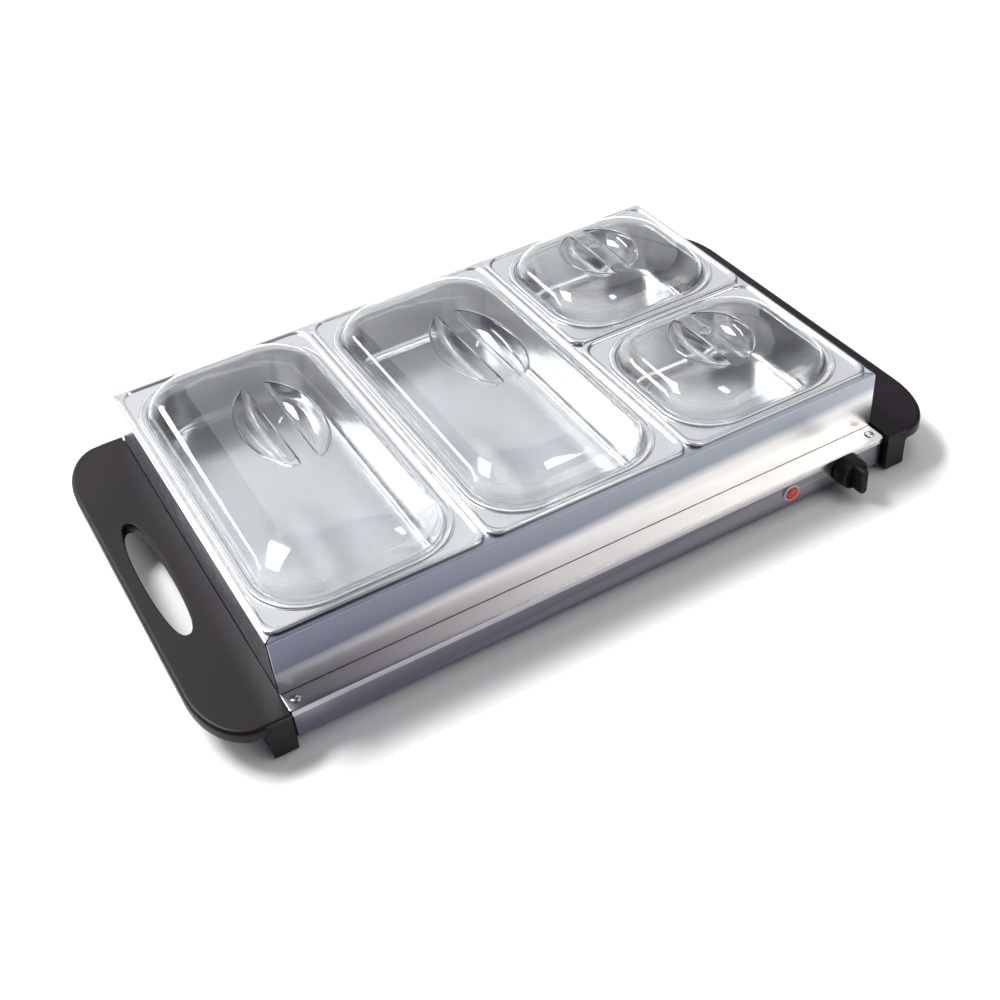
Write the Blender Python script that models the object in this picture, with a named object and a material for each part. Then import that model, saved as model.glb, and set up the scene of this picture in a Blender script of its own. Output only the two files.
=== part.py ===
"""Electric buffet server: a warming base with end handles, a lift-off pan rack, pans and clear lids.

Units are metres, +Z is up and the front, with the knob, faces -Y.  The origin is the centre of the
bounding box at floor level.
"""
from math import asin, cos, pi, sin, sqrt

import bmesh
import bpy
from mathutils import Vector
from mathutils.geometry import interpolate_bezier

# ---------------------------------------------------------------- driving dimensions
GAP = 0.0003                # clearance between neighbouring pieces
SHEET = 0.0008              # steel sheet

BASE_LENGTH = 0.540
BASE_DEPTH = 0.3745
BASE_HEIGHT = 0.0291
LIP_HEIGHT = 0.0060         # turned-down edge of the warming plate
LEDGE_FRONT = 0.0189        # warming plate left free in front of the rack

LEG_DROP = 0.0040           # the handle legs reach this far below the base
PAD_THICKNESS = 0.0015
HANDLE_REACH = 0.0597       # handle width outward from the base
HANDLE_FRONT_OVERHANG = 0.0045
HANDLE_BACK_OVERHANG = 0.0030
HANDLE_PROUD = 0.0020       # handle top above the warming plate
HANDLE_SKIRT = 0.0100
HANDLE_WALL = 0.0025
HANDLE_CORNER = (0.036, 0.060)
LEG_SIZE = (0.0192, 0.022)
HAND_HOLE_HALF = (0.0115, 0.0738)
HAND_HOLE_OFFSET = 0.0345   # hole centre outward from the base
HAND_HOLE_SHIFT = 0.0001    # hole centre behind the base's middle

RACK_DEPTH = 0.3472
RACK_HEIGHT = 0.0523
RACK_FLANGE = 0.0120
RACK_HEM = 0.0070
CORNER_SEAM = 0.0012        # open seam between the rack's folded panels
DIVIDER_WIDTH = 0.0200
DIVIDER_LEG = 0.0080

PAN_WIDTH = 0.1773
PAN_GAP = 0.0019
LARGE_PAN_DEPTH = 0.3380
RIM_HEIGHT = 0.0027
RIM_CORNER = 0.0110
PAN_DROP = 0.0480           # rim to the underside of the pan
PAN_SHEET = 0.0007
SEAT_DROP = 0.0017          # the lid's seat below the rim bead

LID_INSET = 0.0073          # lid edge inside the pan's rim
LID_CORNER = 0.0470
LID_SHEET = 0.0018
LID_FLANGE = 0.0016
ABOVE_DOME = 0.0300
WELL_HALF_WIDTH = 0.0320
BAR_HALF_WIDTH = 0.0088

KNOB_X = 0.2300
KNOB_REACH = 0.0240
KNOB_RADIUS = 0.0140
KNOB_BODY = 0.0130
GRIP_WIDTH = 0.0070
GRIP_HALF_LENGTH = 0.0120
LAMP_X = 0.1735
LAMP_RADIUS = 0.0060
BEZEL_RADIUS = 0.0070
GLAND_X = 0.2250
STAT_DEPTH = 0.0240

# Finger wells: centre on the lid, half length, and bottom above the lid's seat
LARGE_WELLS = ((0.0076, 0.0195), 0.0595, 0.0085)
SMALL_WELLS = ((-0.0079, 0.0034), 0.0400, 0.0105)

# ---------------------------------------------------------------- worked out from them
OVERALL_DEPTH = KNOB_REACH + BASE_DEPTH + HANDLE_BACK_OVERHANG
BASE_FRONT = -OVERALL_DEPTH / 2 + KNOB_REACH
BASE_BACK = BASE_FRONT + BASE_DEPTH
BASE_MID = (BASE_FRONT + BASE_BACK) / 2
RACK_FRONT = BASE_FRONT + LEDGE_FRONT
RACK_BACK = RACK_FRONT + RACK_DEPTH
RACK_MID = (RACK_FRONT + RACK_BACK) / 2
HALF = BASE_LENGTH / 2

LEG_BOTTOM = PAD_THICKNESS + GAP
BASE_BOTTOM = LEG_BOTTOM + LEG_DROP
BASE_TOP = BASE_BOTTOM + BASE_HEIGHT
PLATE_UNDER = BASE_TOP - SHEET
COVER_TOP = BASE_BOTTOM - GAP
WALL_OUTER = SHEET + GAP    # housing wall behind the plate's turned-down edge
RACK_BOTTOM = BASE_TOP + GAP
RACK_TOP = RACK_BOTTOM + RACK_HEIGHT
RIM_TOP = RACK_TOP + GAP + RIM_HEIGHT
LID_SEAT = RIM_TOP - SEAT_DROP + GAP

COLUMN_PITCH = PAN_WIDTH + PAN_GAP
SMALL_PAN_DEPTH = (LARGE_PAN_DEPTH - PAN_GAP) / 2
SMALL_PAN_SHIFT = (SMALL_PAN_DEPTH + PAN_GAP) / 2

CONTROL_Z = BASE_BOTTOM + 0.0147
HANDLE_SCREW_Z = BASE_BOTTOM + 0.0112
HANDLE_FRONT = BASE_FRONT - HANDLE_FRONT_OVERHANG
HANDLE_BACK = BASE_BACK + HANDLE_BACK_OVERHANG
HANDLE_TOP = BASE_TOP + HANDLE_PROUD
HANDLE_UNDER = HANDLE_TOP - HANDLE_SKIRT
INNER_FACE = BASE_FRONT + WALL_OUTER + SHEET    # inside of the front wall

HEATED_X = (-0.235, 0.190)
HEATED_Y = (BASE_FRONT + 0.052, BASE_BACK - 0.047)
ELEMENT_RADIUS = 0.0030
ELEMENT_RUNS = 6
SPREADER_Z = PLATE_UNDER - GAP - SHEET
ELEMENT_Z = SPREADER_Z - GAP - ELEMENT_RADIUS
REFLECTOR_Z = 0.0190
INSULATION_Z = (0.0118, REFLECTOR_Z - GAP)

COLOURS = {
    "brushed_steel": ((0.55, 0.56, 0.60), 0.32, 1.0),
    "pan_steel": ((0.62, 0.63, 0.65), 0.24, 1.0),
    "inner_steel": ((0.45, 0.45, 0.46), 0.45, 1.0),
    "aluminium": ((0.75, 0.75, 0.76), 0.35, 1.0),
    "black_plastic": ((0.035, 0.028, 0.034), 0.42, 0.0),
    "knob_plastic": ((0.020, 0.018, 0.020), 0.38, 0.0),
    "clear_plastic": ((0.92, 0.95, 0.97), 0.05, 0.0),
    "red_lens": ((0.65, 0.03, 0.02), 0.15, 0.0),
    "white_plastic": ((0.80, 0.79, 0.75), 0.45, 0.0),
    "rubber": ((0.03, 0.03, 0.03), 0.85, 0.0),
    "mineral_wool": ((0.70, 0.66, 0.52), 0.95, 0.0),
    "ceramic": ((0.85, 0.82, 0.76), 0.60, 0.0),
    "brass": ((0.72, 0.53, 0.22), 0.30, 1.0),
    "wire_sleeve": ((0.55, 0.10, 0.08), 0.70, 0.0),
}

ORIGINS = {}


# ---------------------------------------------------------------- scene helpers
def clear_scene():
    for thing in list(bpy.data.objects):
        bpy.data.objects.remove(thing, do_unlink=True)


def material(slot):
    found = bpy.data.materials.get(slot)
    if found:
        return found
    colour, roughness, metallic = COLOURS[slot]
    made = bpy.data.materials.new(slot)
    made.use_nodes = True
    shader = made.node_tree.nodes["Principled BSDF"]
    shader.inputs["Base Color"].default_value = (*colour, 1.0)
    shader.inputs["Roughness"].default_value = roughness
    shader.inputs["Metallic"].default_value = metallic
    return made


def attach(thing, parent, world):
    """Put an object at a world point, under an unrotated parent."""
    thing.parent = bpy.data.objects[parent] if parent else None
    start = ORIGINS[parent] if parent else Vector((0, 0, 0))
    thing.location = Vector(world) - start
    bpy.context.scene.collection.objects.link(thing)


def joint_empty(name, world, parent=None):
    thing = bpy.data.objects.new(name, None)
    thing.empty_display_size = 0.02
    attach(thing, parent, world)
    ORIGINS[name] = Vector(world)
    return name


def to_object(name, bm, parent, world):
    bmesh.ops.recalc_face_normals(bm, faces=bm.faces)
    mesh = bpy.data.meshes.new(name)
    bm.to_mesh(mesh)
    bm.free()
    thing = bpy.data.objects.new(name, mesh)
    attach(thing, parent, world)
    return thing


def piece(name, bm, slot, parent="base_origin", world=(0, 0, 0), smooth=True):
    thing = to_object(name, bm, parent, world)
    thing.data.materials.append(material(slot))
    if smooth:
        thing.data.shade_smooth()
        thing.data.set_sharp_from_angle(angle=pi / 6)
    return thing


def use_tool(thing, tool, operation="DIFFERENCE"):
    """Cut another mesh out of an object, or join it on, and hide that mesh."""
    tool.hide_render = True
    tool.display_type = "WIRE"
    step = thing.modifiers.new(f"{operation.lower()}_{len(thing.modifiers)}", "BOOLEAN")
    step.operation = operation
    step.solver = "EXACT"
    step.object = tool


def combine(thing, bm, operation="DIFFERENCE"):
    """Use a shape drawn in the object's own space as its tool."""
    tool = to_object(f"{thing.name}_tool_{len(thing.modifiers)}", bm, None, (0, 0, 0))
    tool.parent = thing.parent
    tool.location = thing.location
    use_tool(thing, tool, operation)


# ---------------------------------------------------------------- mesh helpers
def skin(bm, rings, closed=False):
    """Join rings of points in order; the ends are capped, or joined when closed."""
    rows = [[bm.verts.new(point) for point in ring] for ring in rings]
    pairs = list(zip(rows, rows[1:]))
    if closed:
        pairs.append((rows[-1], rows[0]))
    else:
        bm.faces.new(rows[0])
        bm.faces.new(rows[-1])
    for low, high in pairs:
        for i in range(len(low)):
            j = (i + 1) % len(low)
            bm.faces.new((low[i], low[j], high[j], high[i]))
    return bm


def box(bm, low, high):
    (x0, y0, z0), (x1, y1, z1) = low, high
    outline = [(x0, y0), (x1, y0), (x1, y1), (x0, y1)]
    return prism(bm, outline, z0, z1)


def prism(bm, outline, z0, z1):
    return skin(bm, [[(x, y, z) for x, y in outline] for z in (z0, z1)])


def circle(radius, count=24, centre=(0.0, 0.0)):
    steps = [2 * pi * i / count for i in range(count)]
    return [(centre[0] + radius * cos(a), centre[1] + radius * sin(a)) for a in steps]


def turned(bm, profile, centre, axis="Z", count=24, closed=False):
    """Turn (radius, height) pairs round an axis through centre; axis -Y points to the front."""
    rings = []
    for radius, height in profile:
        ring = [Vector((x, y, height)) for x, y in circle(radius, count)]
        if axis == "-Y":
            ring = [Vector((p.x, -p.z, p.y)) for p in ring]
        if axis == "X":
            ring = [Vector((p.z, p.x, p.y)) for p in ring]
        rings.append([p + Vector(centre) for p in ring])
    return skin(bm, rings, closed)


def corner_rect(half_x, half_y, radius, steps=5, centre=(0.0, 0.0)):
    """Outline of a rectangle with round corners, anticlockwise."""
    points = []
    for quarter, (sx, sy) in enumerate(((1, 1), (-1, 1), (-1, -1), (1, -1))):
        cx = centre[0] + sx * (half_x - radius)
        cy = centre[1] + sy * (half_y - radius)
        for i in range(steps + 1):
            a = (quarter + i / steps) * pi / 2
            points.append((cx + radius * cos(a), cy + radius * sin(a)))
    return points


def rect_ring(half_x, half_y, radius, z, steps=5):
    return [(x, y, z) for x, y in corner_rect(half_x, half_y, radius, steps)]


# ---------------------------------------------------------------- warming base
def warming_plate():
    """Top sheet with its edge turned down, and two small pips that stop the rack sliding."""
    half_y = BASE_DEPTH / 2
    fold = 0.0012
    low = BASE_TOP - LIP_HEIGHT
    stations = [
        (SHEET, PLATE_UNDER), (SHEET, low), (0, low), (0, BASE_TOP - fold),
        (fold * 0.3, BASE_TOP - fold * 0.3), (fold, BASE_TOP),
    ]
    rings = [rect_ring(HALF - inset, half_y - inset, 0.0025 - inset / 2, z, 2) for inset, z in stations]
    bm = skin(bmesh.new(), rings)
    plate = piece("warming_plate", bm, "brushed_steel", world=(0, BASE_MID, 0))
    pips = bmesh.new()
    for side in (-1, 1):
        spot = (side * (HALF - 0.009), RACK_FRONT - BASE_MID - 0.0095, PLATE_UNDER + SHEET / 2)
        turned(pips, [(0.0040, 0), (0.0030, 0.0012), (0.0014, 0.0019)], spot, count=12)
    combine(plate, pips, "UNION")


def base_housing():
    """Four walls and an inward bottom flange, open above and below."""
    half_x = HALF - WALL_OUTER
    half_y = BASE_DEPTH / 2 - WALL_OUTER
    flange = 0.014
    top = PLATE_UNDER - GAP
    floor = BASE_BOTTOM + SHEET
    stations = [
        (0, top), (0, BASE_BOTTOM), (flange, BASE_BOTTOM), (flange, floor), (SHEET, floor), (SHEET, top),
    ]
    rings = [rect_ring(half_x - inset, half_y - inset, 0.002, z, 2) for inset, z in stations]
    bm = skin(bmesh.new(), rings, closed=True)
    housing = piece("base_housing", bm, "brushed_steel", world=(0, BASE_MID, 0))
    holes = bmesh.new()
    through = [(0, -0.003), (0, 0.003)]
    wall = BASE_FRONT - BASE_MID + WALL_OUTER + SHEET / 2
    for x, radius in ((KNOB_X, 0.0050), (LAMP_X, 0.0054)):
        turned(holes, [(radius + GAP, h) for _, h in through], (x, wall, CONTROL_Z), "-Y", 16)
    turned(holes, [(0.0072, h) for _, h in through], (GLAND_X, -wall, CONTROL_Z), "-Y", 16)
    for _, x, y in handle_screw_places():
        turned(holes, [(0.0024, h) for _, h in through], (x, y - BASE_MID, HANDLE_SCREW_Z), "X", 10)
    for _, x, y in cover_screw_places():
        turned(holes, [(0.0019, h) for _, h in through], (x, y - BASE_MID, BASE_BOTTOM), "Z", 8)
    combine(housing, holes)


def corners(x, y):
    """Four places about the base's middle, with the name of each corner."""
    ends = (("front", -1), ("back", 1))
    sides = (("left", -1), ("right", 1))
    return [(f"{end}_{hand}", sx * x, BASE_MID + sy * y) for end, sy in ends for hand, sx in sides]


def handle_screw_places():
    return corners(HALF - WALL_OUTER - SHEET / 2, 0.120)


def cover_screw_places():
    return corners(HALF - 0.0095, BASE_DEPTH / 2 - 0.0095)


def bottom_cover():
    half_x = HALF - 0.0045
    half_y = BASE_DEPTH / 2 - 0.0045
    low = COVER_TOP - SHEET
    bm = prism(bmesh.new(), corner_rect(half_x, half_y, 0.004, 2), low, COVER_TOP)
    cover = piece("bottom_cover", bm, "inner_steel", world=(0, BASE_MID, 0))
    cuts = bmesh.new()
    for x in (-0.16, 0.16):
        for row in range(6):
            y = (row - 2.5) * 0.013
            outline = [(x + px, y + py) for px, py in corner_rect(0.022, 0.002, 0.0019, 1)]
            prism(cuts, outline, low - 0.002, COVER_TOP + 0.002)
    for _, x, y in cover_screw_places():
        turned(cuts, [(0.0019, -0.002), (0.0019, 0.002)], (x, y - BASE_MID, low + SHEET / 2), "Z", 8)
    combine(cover, cuts)


def cover_screws():
    head = COVER_TOP - SHEET - GAP
    profile = [(0.0024, -0.0017), (0.0034, -0.0009), (0.0034, 0), (0.0015, 0), (0.0015, 0.0058)]
    for corner, x, y in cover_screw_places():
        bm = turned(bmesh.new(), profile, (0, 0, 0), "Z", 8)
        piece(f"cover_screw_{corner}", bm, "inner_steel", world=(x, y, head))


# ---------------------------------------------------------------- heating parts
def heat_spreader():
    centre = (sum(HEATED_X) / 2, sum(HEATED_Y) / 2)
    half = ((HEATED_X[1] - HEATED_X[0]) / 2, (HEATED_Y[1] - HEATED_Y[0]) / 2)
    outline = corner_rect(*half, 0.008, 2, centre)
    piece("heat_spreader", prism(bmesh.new(), outline, SPREADER_Z, SPREADER_Z + SHEET), "aluminium")


def element_rows():
    pitch = (HEATED_Y[1] - HEATED_Y[0]) / ELEMENT_RUNS
    return [HEATED_Y[0] + pitch * (i + 0.5) for i in range(ELEMENT_RUNS)], pitch


def heating_element():
    """Metal-sheathed tube in a serpentine, both ends on the right."""
    rows, pitch = element_rows()
    bend = pitch / 2
    far, near = HEATED_X[0] + 0.010 + bend, HEATED_X[1] - 0.014 - bend
    path = [(HEATED_X[1] + 0.002, rows[0])]
    for i, y in enumerate(rows[:-1]):
        side, x = (-1, far) if i % 2 == 0 else (1, near)
        for k in range(9):
            a = pi * k / 8
            path.append((x + side * bend * sin(a), y + bend - bend * cos(a)))
    path.append((HEATED_X[1] + 0.002, rows[-1]))
    tube("heating_element", [(x, y, ELEMENT_Z) for x, y in path], ELEMENT_RADIUS, "inner_steel", 1)


def tube(name, route, radius, slot, resolution=2):
    """Round tube with filled ends along a route of points."""
    data = bpy.data.curves.new(name, "CURVE")
    data.dimensions = "3D"
    data.bevel_depth = radius
    data.bevel_resolution = resolution
    data.use_fill_caps = True
    line = data.splines.new("POLY")
    line.points.add(len(route) - 1)
    for point, place in zip(line.points, route):
        point.co = (*place, 1.0)
    data.materials.append(material(slot))
    thing = bpy.data.objects.new(name, data)
    attach(thing, "base_origin", (0, 0, 0))


def element_terminals():
    """A ceramic bead and a pin on each end of the element."""
    rows, _ = element_rows()
    profile = [(0.0028, 0), (0.0028, 0.009), (0.0012, 0.0092), (0.0012, 0.016)]
    for end, y in (("front", rows[0]), ("back", rows[-1])):
        bm = turned(bmesh.new(), profile, (0, 0, 0), "X", 12)
        place = (HEATED_X[1] + 0.002 + GAP, y, ELEMENT_Z)
        piece(f"element_terminal_{end}", bm, "ceramic", world=place)


def element_clamps():
    """Straps that hold the element up against the spreader."""
    rows, pitch = element_rows()
    under = ELEMENT_Z - ELEMENT_RADIUS - GAP
    half = 0.006
    low = rows[0] - pitch / 3
    high = rows[-1] + pitch / 3
    top = SPREADER_Z - GAP
    outline = [
        (low, top), (low, under - SHEET), (high, under - SHEET), (high, top), (high - SHEET, top),
        (high - SHEET, under), (low + SHEET, under), (low + SHEET, top),
    ]
    for hand, x in (("left", -0.120), ("right", 0.075)):
        bm = skin(bmesh.new(), [[(side, y, z) for y, z in outline] for side in (-half, half)])
        piece(f"element_clamp_{hand}", bm, "inner_steel", world=(x, 0, 0))


def heat_reflector():
    """Shallow aluminium tray under the element."""
    cx, cy = sum(HEATED_X) / 2, sum(HEATED_Y) / 2
    half_x, half_y = (HEATED_X[1] - HEATED_X[0]) / 2 - 0.006, (HEATED_Y[1] - HEATED_Y[0]) / 2
    wall = 0.0045
    top = REFLECTOR_Z + wall
    stations = [(SHEET, REFLECTOR_Z + SHEET), (SHEET, top), (0, top), (0, REFLECTOR_Z)]
    rings = [rect_ring(half_x - inset, half_y - inset, 0.006, z, 2) for inset, z in stations]
    piece("heat_reflector", skin(bmesh.new(), rings), "aluminium", world=(cx, cy, 0))


def insulation_blanket():
    cx, cy = sum(HEATED_X) / 2, sum(HEATED_Y) / 2
    half_x, half_y = (HEATED_X[1] - HEATED_X[0]) / 2 - 0.008, (HEATED_Y[1] - HEATED_Y[0]) / 2 - 0.002
    bm = prism(bmesh.new(), corner_rect(half_x, half_y, 0.008, 2), *INSULATION_Z)
    piece("insulation_blanket", bm, "mineral_wool", world=(cx, cy, 0))


def support_pillars():
    """Pillars that carry the insulation and the reflector on the bottom cover."""
    profile = [(0.0050, COVER_TOP + GAP), (0.0035, COVER_TOP + 0.002), (0.0035, INSULATION_Z[0] - GAP)]
    for corner, x, y in corners(0.150, 0.095):
        bm = turned(bmesh.new(), profile, (0, 0, 0), "Z", 10)
        piece(f"support_pillar_{corner}", bm, "inner_steel", world=(x, y, 0))


# ---------------------------------------------------------------- controls and wiring
def thermostat():
    """Body behind the front wall, its bush through the wall, and the nut on the bush."""
    back = INNER_FACE + GAP
    half = 0.0115
    low = (KNOB_X - 0.017, back, CONTROL_Z - half)
    high = (KNOB_X + 0.017, back + STAT_DEPTH, CONTROL_Z + half)
    body = piece("thermostat_body", box(bmesh.new(), low, high), "ceramic")
    place = (KNOB_X, back, CONTROL_Z)
    combine(body, turned(bmesh.new(), [(0.0050, -0.006), (0.0050, 0.0062)], place, "-Y", 16), "UNION")
    combine(body, turned(bmesh.new(), [(0.0034, -0.012), (0.0034, 0.010)], place, "-Y", 16))
    front = BASE_FRONT + WALL_OUTER - GAP
    rings = [
        [(KNOB_X + x, front - forward, CONTROL_Z + z) for x, z in circle(radius, 6)]
        for radius, forward in ((0.0062, 0), (0.0062, 0.0022), (0.0080, 0.0022), (0.0080, 0))
    ]
    nut = skin(bmesh.new(), rings, closed=True)
    piece("thermostat_nut", nut, "inner_steel", smooth=False)


def thermostat_shaft():
    profile = [(0.0030, -0.0115), (0.0030, 0.0165)]
    bm = turned(bmesh.new(), profile, (0, INNER_FACE - BASE_FRONT, 0), "-Y", 16)
    piece("thermostat_shaft", bm, "brass", "knob_axis", ORIGINS["knob_axis"])


def control_knob():
    """Skirted round body, a tapered grip across it, and a blind bore for the shaft."""
    start = GAP
    profile = [
        (KNOB_RADIUS, start), (KNOB_RADIUS, 0.0030), (KNOB_RADIUS - 0.0016, KNOB_BODY - 0.0016),
        (KNOB_RADIUS - 0.0032, KNOB_BODY),
    ]
    knob = piece(
        "control_knob", turned(bmesh.new(), profile, (0, 0, 0), "-Y", 28), "knob_plastic",
        "knob_axis", ORIGINS["knob_axis"],
    )
    grip = bmesh.new()
    rings = []
    for depth, half_x, half_z in (
        (KNOB_BODY - 0.002, GRIP_WIDTH / 2 + 0.0006, GRIP_HALF_LENGTH),
        (KNOB_REACH - 0.0012, GRIP_WIDTH / 2, GRIP_HALF_LENGTH - 0.0004),
        (KNOB_REACH, GRIP_WIDTH / 2 - 0.001, GRIP_HALF_LENGTH - 0.0014),
    ):
        outline = corner_rect(half_x, half_z, half_x * 0.85, 3)
        rings.append([(x, -depth, z) for x, z in outline])
    skin(grip, rings)
    combine(knob, grip, "UNION")
    hollow = [(0.0095, start - 0.002), (0.0095, 0.0060), (0.0034, 0.0060), (0.0034, 0.0175)]
    combine(knob, turned(bmesh.new(), hollow, (0, 0, 0), "-Y", 20))


def indicator_lamp():
    """Lens in a bezel on the front wall, and the lamp's body and clip behind it."""
    face = BASE_FRONT + WALL_OUTER
    place = (LAMP_X, face, CONTROL_Z)
    bezel = [
        (LAMP_RADIUS + GAP, GAP), (BEZEL_RADIUS, GAP), (BEZEL_RADIUS, 0.0019),
        (BEZEL_RADIUS - 0.0005, 0.0023), (LAMP_RADIUS + GAP, 0.0023),
    ]
    bm = turned(bmesh.new(), bezel, place, "-Y", 24, closed=True)
    piece("indicator_bezel", bm, "white_plastic")
    lens = [
        (LAMP_RADIUS, GAP), (LAMP_RADIUS, 0.0021), (0.0050, 0.0032), (0.0032, 0.0039), (0.0012, 0.0042),
    ]
    piece("indicator_lens", turned(bmesh.new(), lens, place, "-Y", 20), "red_lens")
    body = [(0.0045, -0.0220), (0.0051, -0.0200), (0.0051, 0)]
    piece("indicator_lamp_body", turned(bmesh.new(), body, place, "-Y", 16), "white_plastic")
    clip = [(0.0054, -0.0032), (0.0085, -0.0032), (0.0085, -0.0020), (0.0054, -0.0020)]
    place = (LAMP_X, INNER_FACE - 0.0016, CONTROL_Z)
    piece("indicator_clip", turned(bmesh.new(), clip, place, "-Y", 16, closed=True), "inner_steel")


def cord_gland():
    """Grommet through the back wall where the supply lead enters."""
    wall = BASE_BACK - WALL_OUTER
    profile = [
        (0.0040, -0.0065), (0.0069, -0.0065), (0.0069, 0.0003), (0.0081, 0.0003), (0.0081, 0.0024),
        (0.0060, 0.0036), (0.0040, 0.0036),
    ]
    rings = []
    for radius, height in profile:
        rings.append([(GLAND_X + x, wall + height, CONTROL_Z + z) for x, z in circle(radius, 20)])
    piece("cord_gland", skin(bmesh.new(), rings, closed=True), "rubber")


def terminal_block():
    x, y, low = GLAND_X, BASE_BACK - 0.050, COVER_TOP + GAP
    bm = box(bmesh.new(), (x - 0.016, y - 0.009, low), (x + 0.016, y + 0.009, low + 0.012))
    block = piece("terminal_block", bm, "ceramic")
    bores = bmesh.new()
    for step in (-1, 0, 1):
        turned(bores, [(0.0022, -0.02), (0.0022, 0.02)], (x + step * 0.010, y, low + 0.006), "-Y", 8)
    combine(block, bores)


def thermal_fuse():
    """Cut-out fuse in a sleeve, beside the element on the underside of the warming plate."""
    rows, _ = element_rows()
    place = (HEATED_X[1] + 0.022, sum(rows) / len(rows), PLATE_UNDER - GAP - 0.0031)
    profile = [(0.0018, -0.012), (0.0030, -0.010), (0.0030, 0.010), (0.0018, 0.012)]
    piece("thermal_fuse", turned(bmesh.new(), profile, place, "-Y", 12), "ceramic")


def earth_stud():
    x, y = GLAND_X + 0.024, BASE_BACK - 0.050
    low = COVER_TOP + GAP
    profile = [
        (0.0055, 0), (0.0055, 0.0010), (0.0038, 0.0012), (0.0038, 0.0042), (0.0020, 0.0044),
        (0.0020, 0.0095),
    ]
    piece("earth_stud", turned(bmesh.new(), profile, (0, 0, 0), "Z", 10), "brass", world=(x, y, low))


def smooth_route(points, steps=4):
    """Points along one smooth curve through the given points."""
    places = [Vector(p) for p in points]
    route = [places[0]]
    for i in range(len(places) - 1):
        before, start = places[max(i - 1, 0)], places[i]
        end, after = places[i + 1], places[min(i + 2, len(places) - 1)]
        pull = (end - before) / 6
        push = (after - start) / 6
        route += interpolate_bezier(start, start + pull, end - push, end, steps + 1)[1:]
    return route


def lead_wires():
    """Sleeved leads in the free corridor on the right."""
    rows, _ = element_rows()
    block_y = BASE_BACK - 0.050
    z = COVER_TOP + GAP + 0.006
    pin_x = HEATED_X[1] + 0.002 + GAP + 0.016 + 0.0013
    front = block_y - 0.0095
    stat = INNER_FACE + GAP + STAT_DEPTH + 0.0006
    live, load = KNOB_X + 0.008, KNOB_X - 0.008
    routes = [
        [
            (GLAND_X, front, z), (GLAND_X, front - 0.02, z), (0.238, 0.08, 0.012), (0.240, -0.04, 0.012),
            (0.236, -0.11, 0.016), (live, stat + 0.008, CONTROL_Z), (live, stat, CONTROL_Z),
        ],
        [
            (load, stat, CONTROL_Z), (load, stat + 0.012, CONTROL_Z), (0.220, -0.118, 0.023),
            (pin_x + 0.006, rows[0] - 0.001, ELEMENT_Z), (pin_x, rows[0], ELEMENT_Z),
        ],
        [
            (GLAND_X - 0.010, front, z), (GLAND_X - 0.010, front - 0.012, z + 0.002),
            (pin_x + 0.008, rows[-1] - 0.003, ELEMENT_Z - 0.002), (pin_x, rows[-1], ELEMENT_Z),
        ],
    ]
    for label, route in zip(("supply", "element_front", "element_back"), routes):
        tube(f"lead_{label}", smooth_route(route), 0.0012, "wire_sleeve", 1)


# ---------------------------------------------------------------- handles and feet
def handle_outline(grow=0.0):
    """Plan of the right handle: straight inner edge, elliptical outer corners."""
    inner = HALF + GAP - grow
    outer = HALF + GAP + HANDLE_REACH + grow
    front, back = HANDLE_FRONT - grow, HANDLE_BACK + grow
    rx, ry = HANDLE_CORNER[0] + grow, HANDLE_CORNER[1] + grow
    points = [(inner, front)]
    for k in range(8):
        a = pi / 2 * k / 7
        points.append((outer - rx + rx * sin(a), front + ry - ry * cos(a)))
    for k in range(8):
        a = pi / 2 * k / 7
        points.append((outer - rx + rx * cos(a), back - ry + ry * sin(a)))
    points.append((inner, back))
    return points


def hand_hole_outline(grow=0.0, count=28):
    """Slim oval with round ends."""
    centre = (HALF + HAND_HOLE_OFFSET, BASE_MID + HAND_HOLE_SHIFT)
    half_x, half_y = HAND_HOLE_HALF[0] + grow, HAND_HOLE_HALF[1] + grow
    points = []
    for k in range(count):
        a = 2 * pi * (k + 0.5) / count
        c, s = cos(a), sin(a)
        points.append((centre[0] + half_x * c / abs(c) ** 0.2, centre[1] + half_y * s))
    return points


def mirrored(bm, side):
    if side < 0:
        bmesh.ops.scale(bm, vec=(-1, 1, 1), verts=bm.verts)
    return bm


def handle(name, side):
    """Hollow moulding: deck, skirt, inner wall with screw bosses, and a leg at each end."""
    under_deck = HANDLE_TOP - HANDLE_WALL
    into_deck = HANDLE_TOP - HANDLE_WALL / 2
    inner = HALF + GAP

    def change(bm, operation):
        combine(body, mirrored(bm, side), operation)

    deck = prism(bmesh.new(), handle_outline(), HANDLE_UNDER, HANDLE_TOP)
    body = piece(name, mirrored(deck, side), "black_plastic")
    hollow = prism(bmesh.new(), handle_outline(-HANDLE_WALL), HANDLE_UNDER - 0.002, under_deck)
    change(hollow, "DIFFERENCE")
    collar = prism(bmesh.new(), hand_hole_outline(HANDLE_WALL), HANDLE_UNDER, into_deck)
    change(collar, "UNION")
    hole = prism(bmesh.new(), hand_hole_outline(), HANDLE_UNDER - 0.002, HANDLE_TOP + 0.002)
    change(hole, "DIFFERENCE")
    low = (inner, HANDLE_FRONT + 0.001, BASE_BOTTOM)
    high = (inner + HANDLE_WALL, HANDLE_BACK - 0.001, into_deck)
    change(box(bmesh.new(), low, high), "UNION")
    legs = bmesh.new()
    for start in (HANDLE_FRONT, HANDLE_BACK - LEG_SIZE[1]):
        box(legs, (inner, start, LEG_BOTTOM), (inner + LEG_SIZE[0], start + LEG_SIZE[1], into_deck))
    change(legs, "UNION")
    bosses, bores = bmesh.new(), bmesh.new()
    for _, x, y in handle_screw_places():
        if x > 0:
            place = (inner, y, HANDLE_SCREW_Z)
            turned(bosses, [(0.0050, 0.001), (0.0045, 0.011)], place, "X", 12)
            turned(bores, [(0.0023, -0.001), (0.0023, 0.010)], place, "X", 10)
    change(bosses, "UNION")
    change(bores, "DIFFERENCE")


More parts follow.
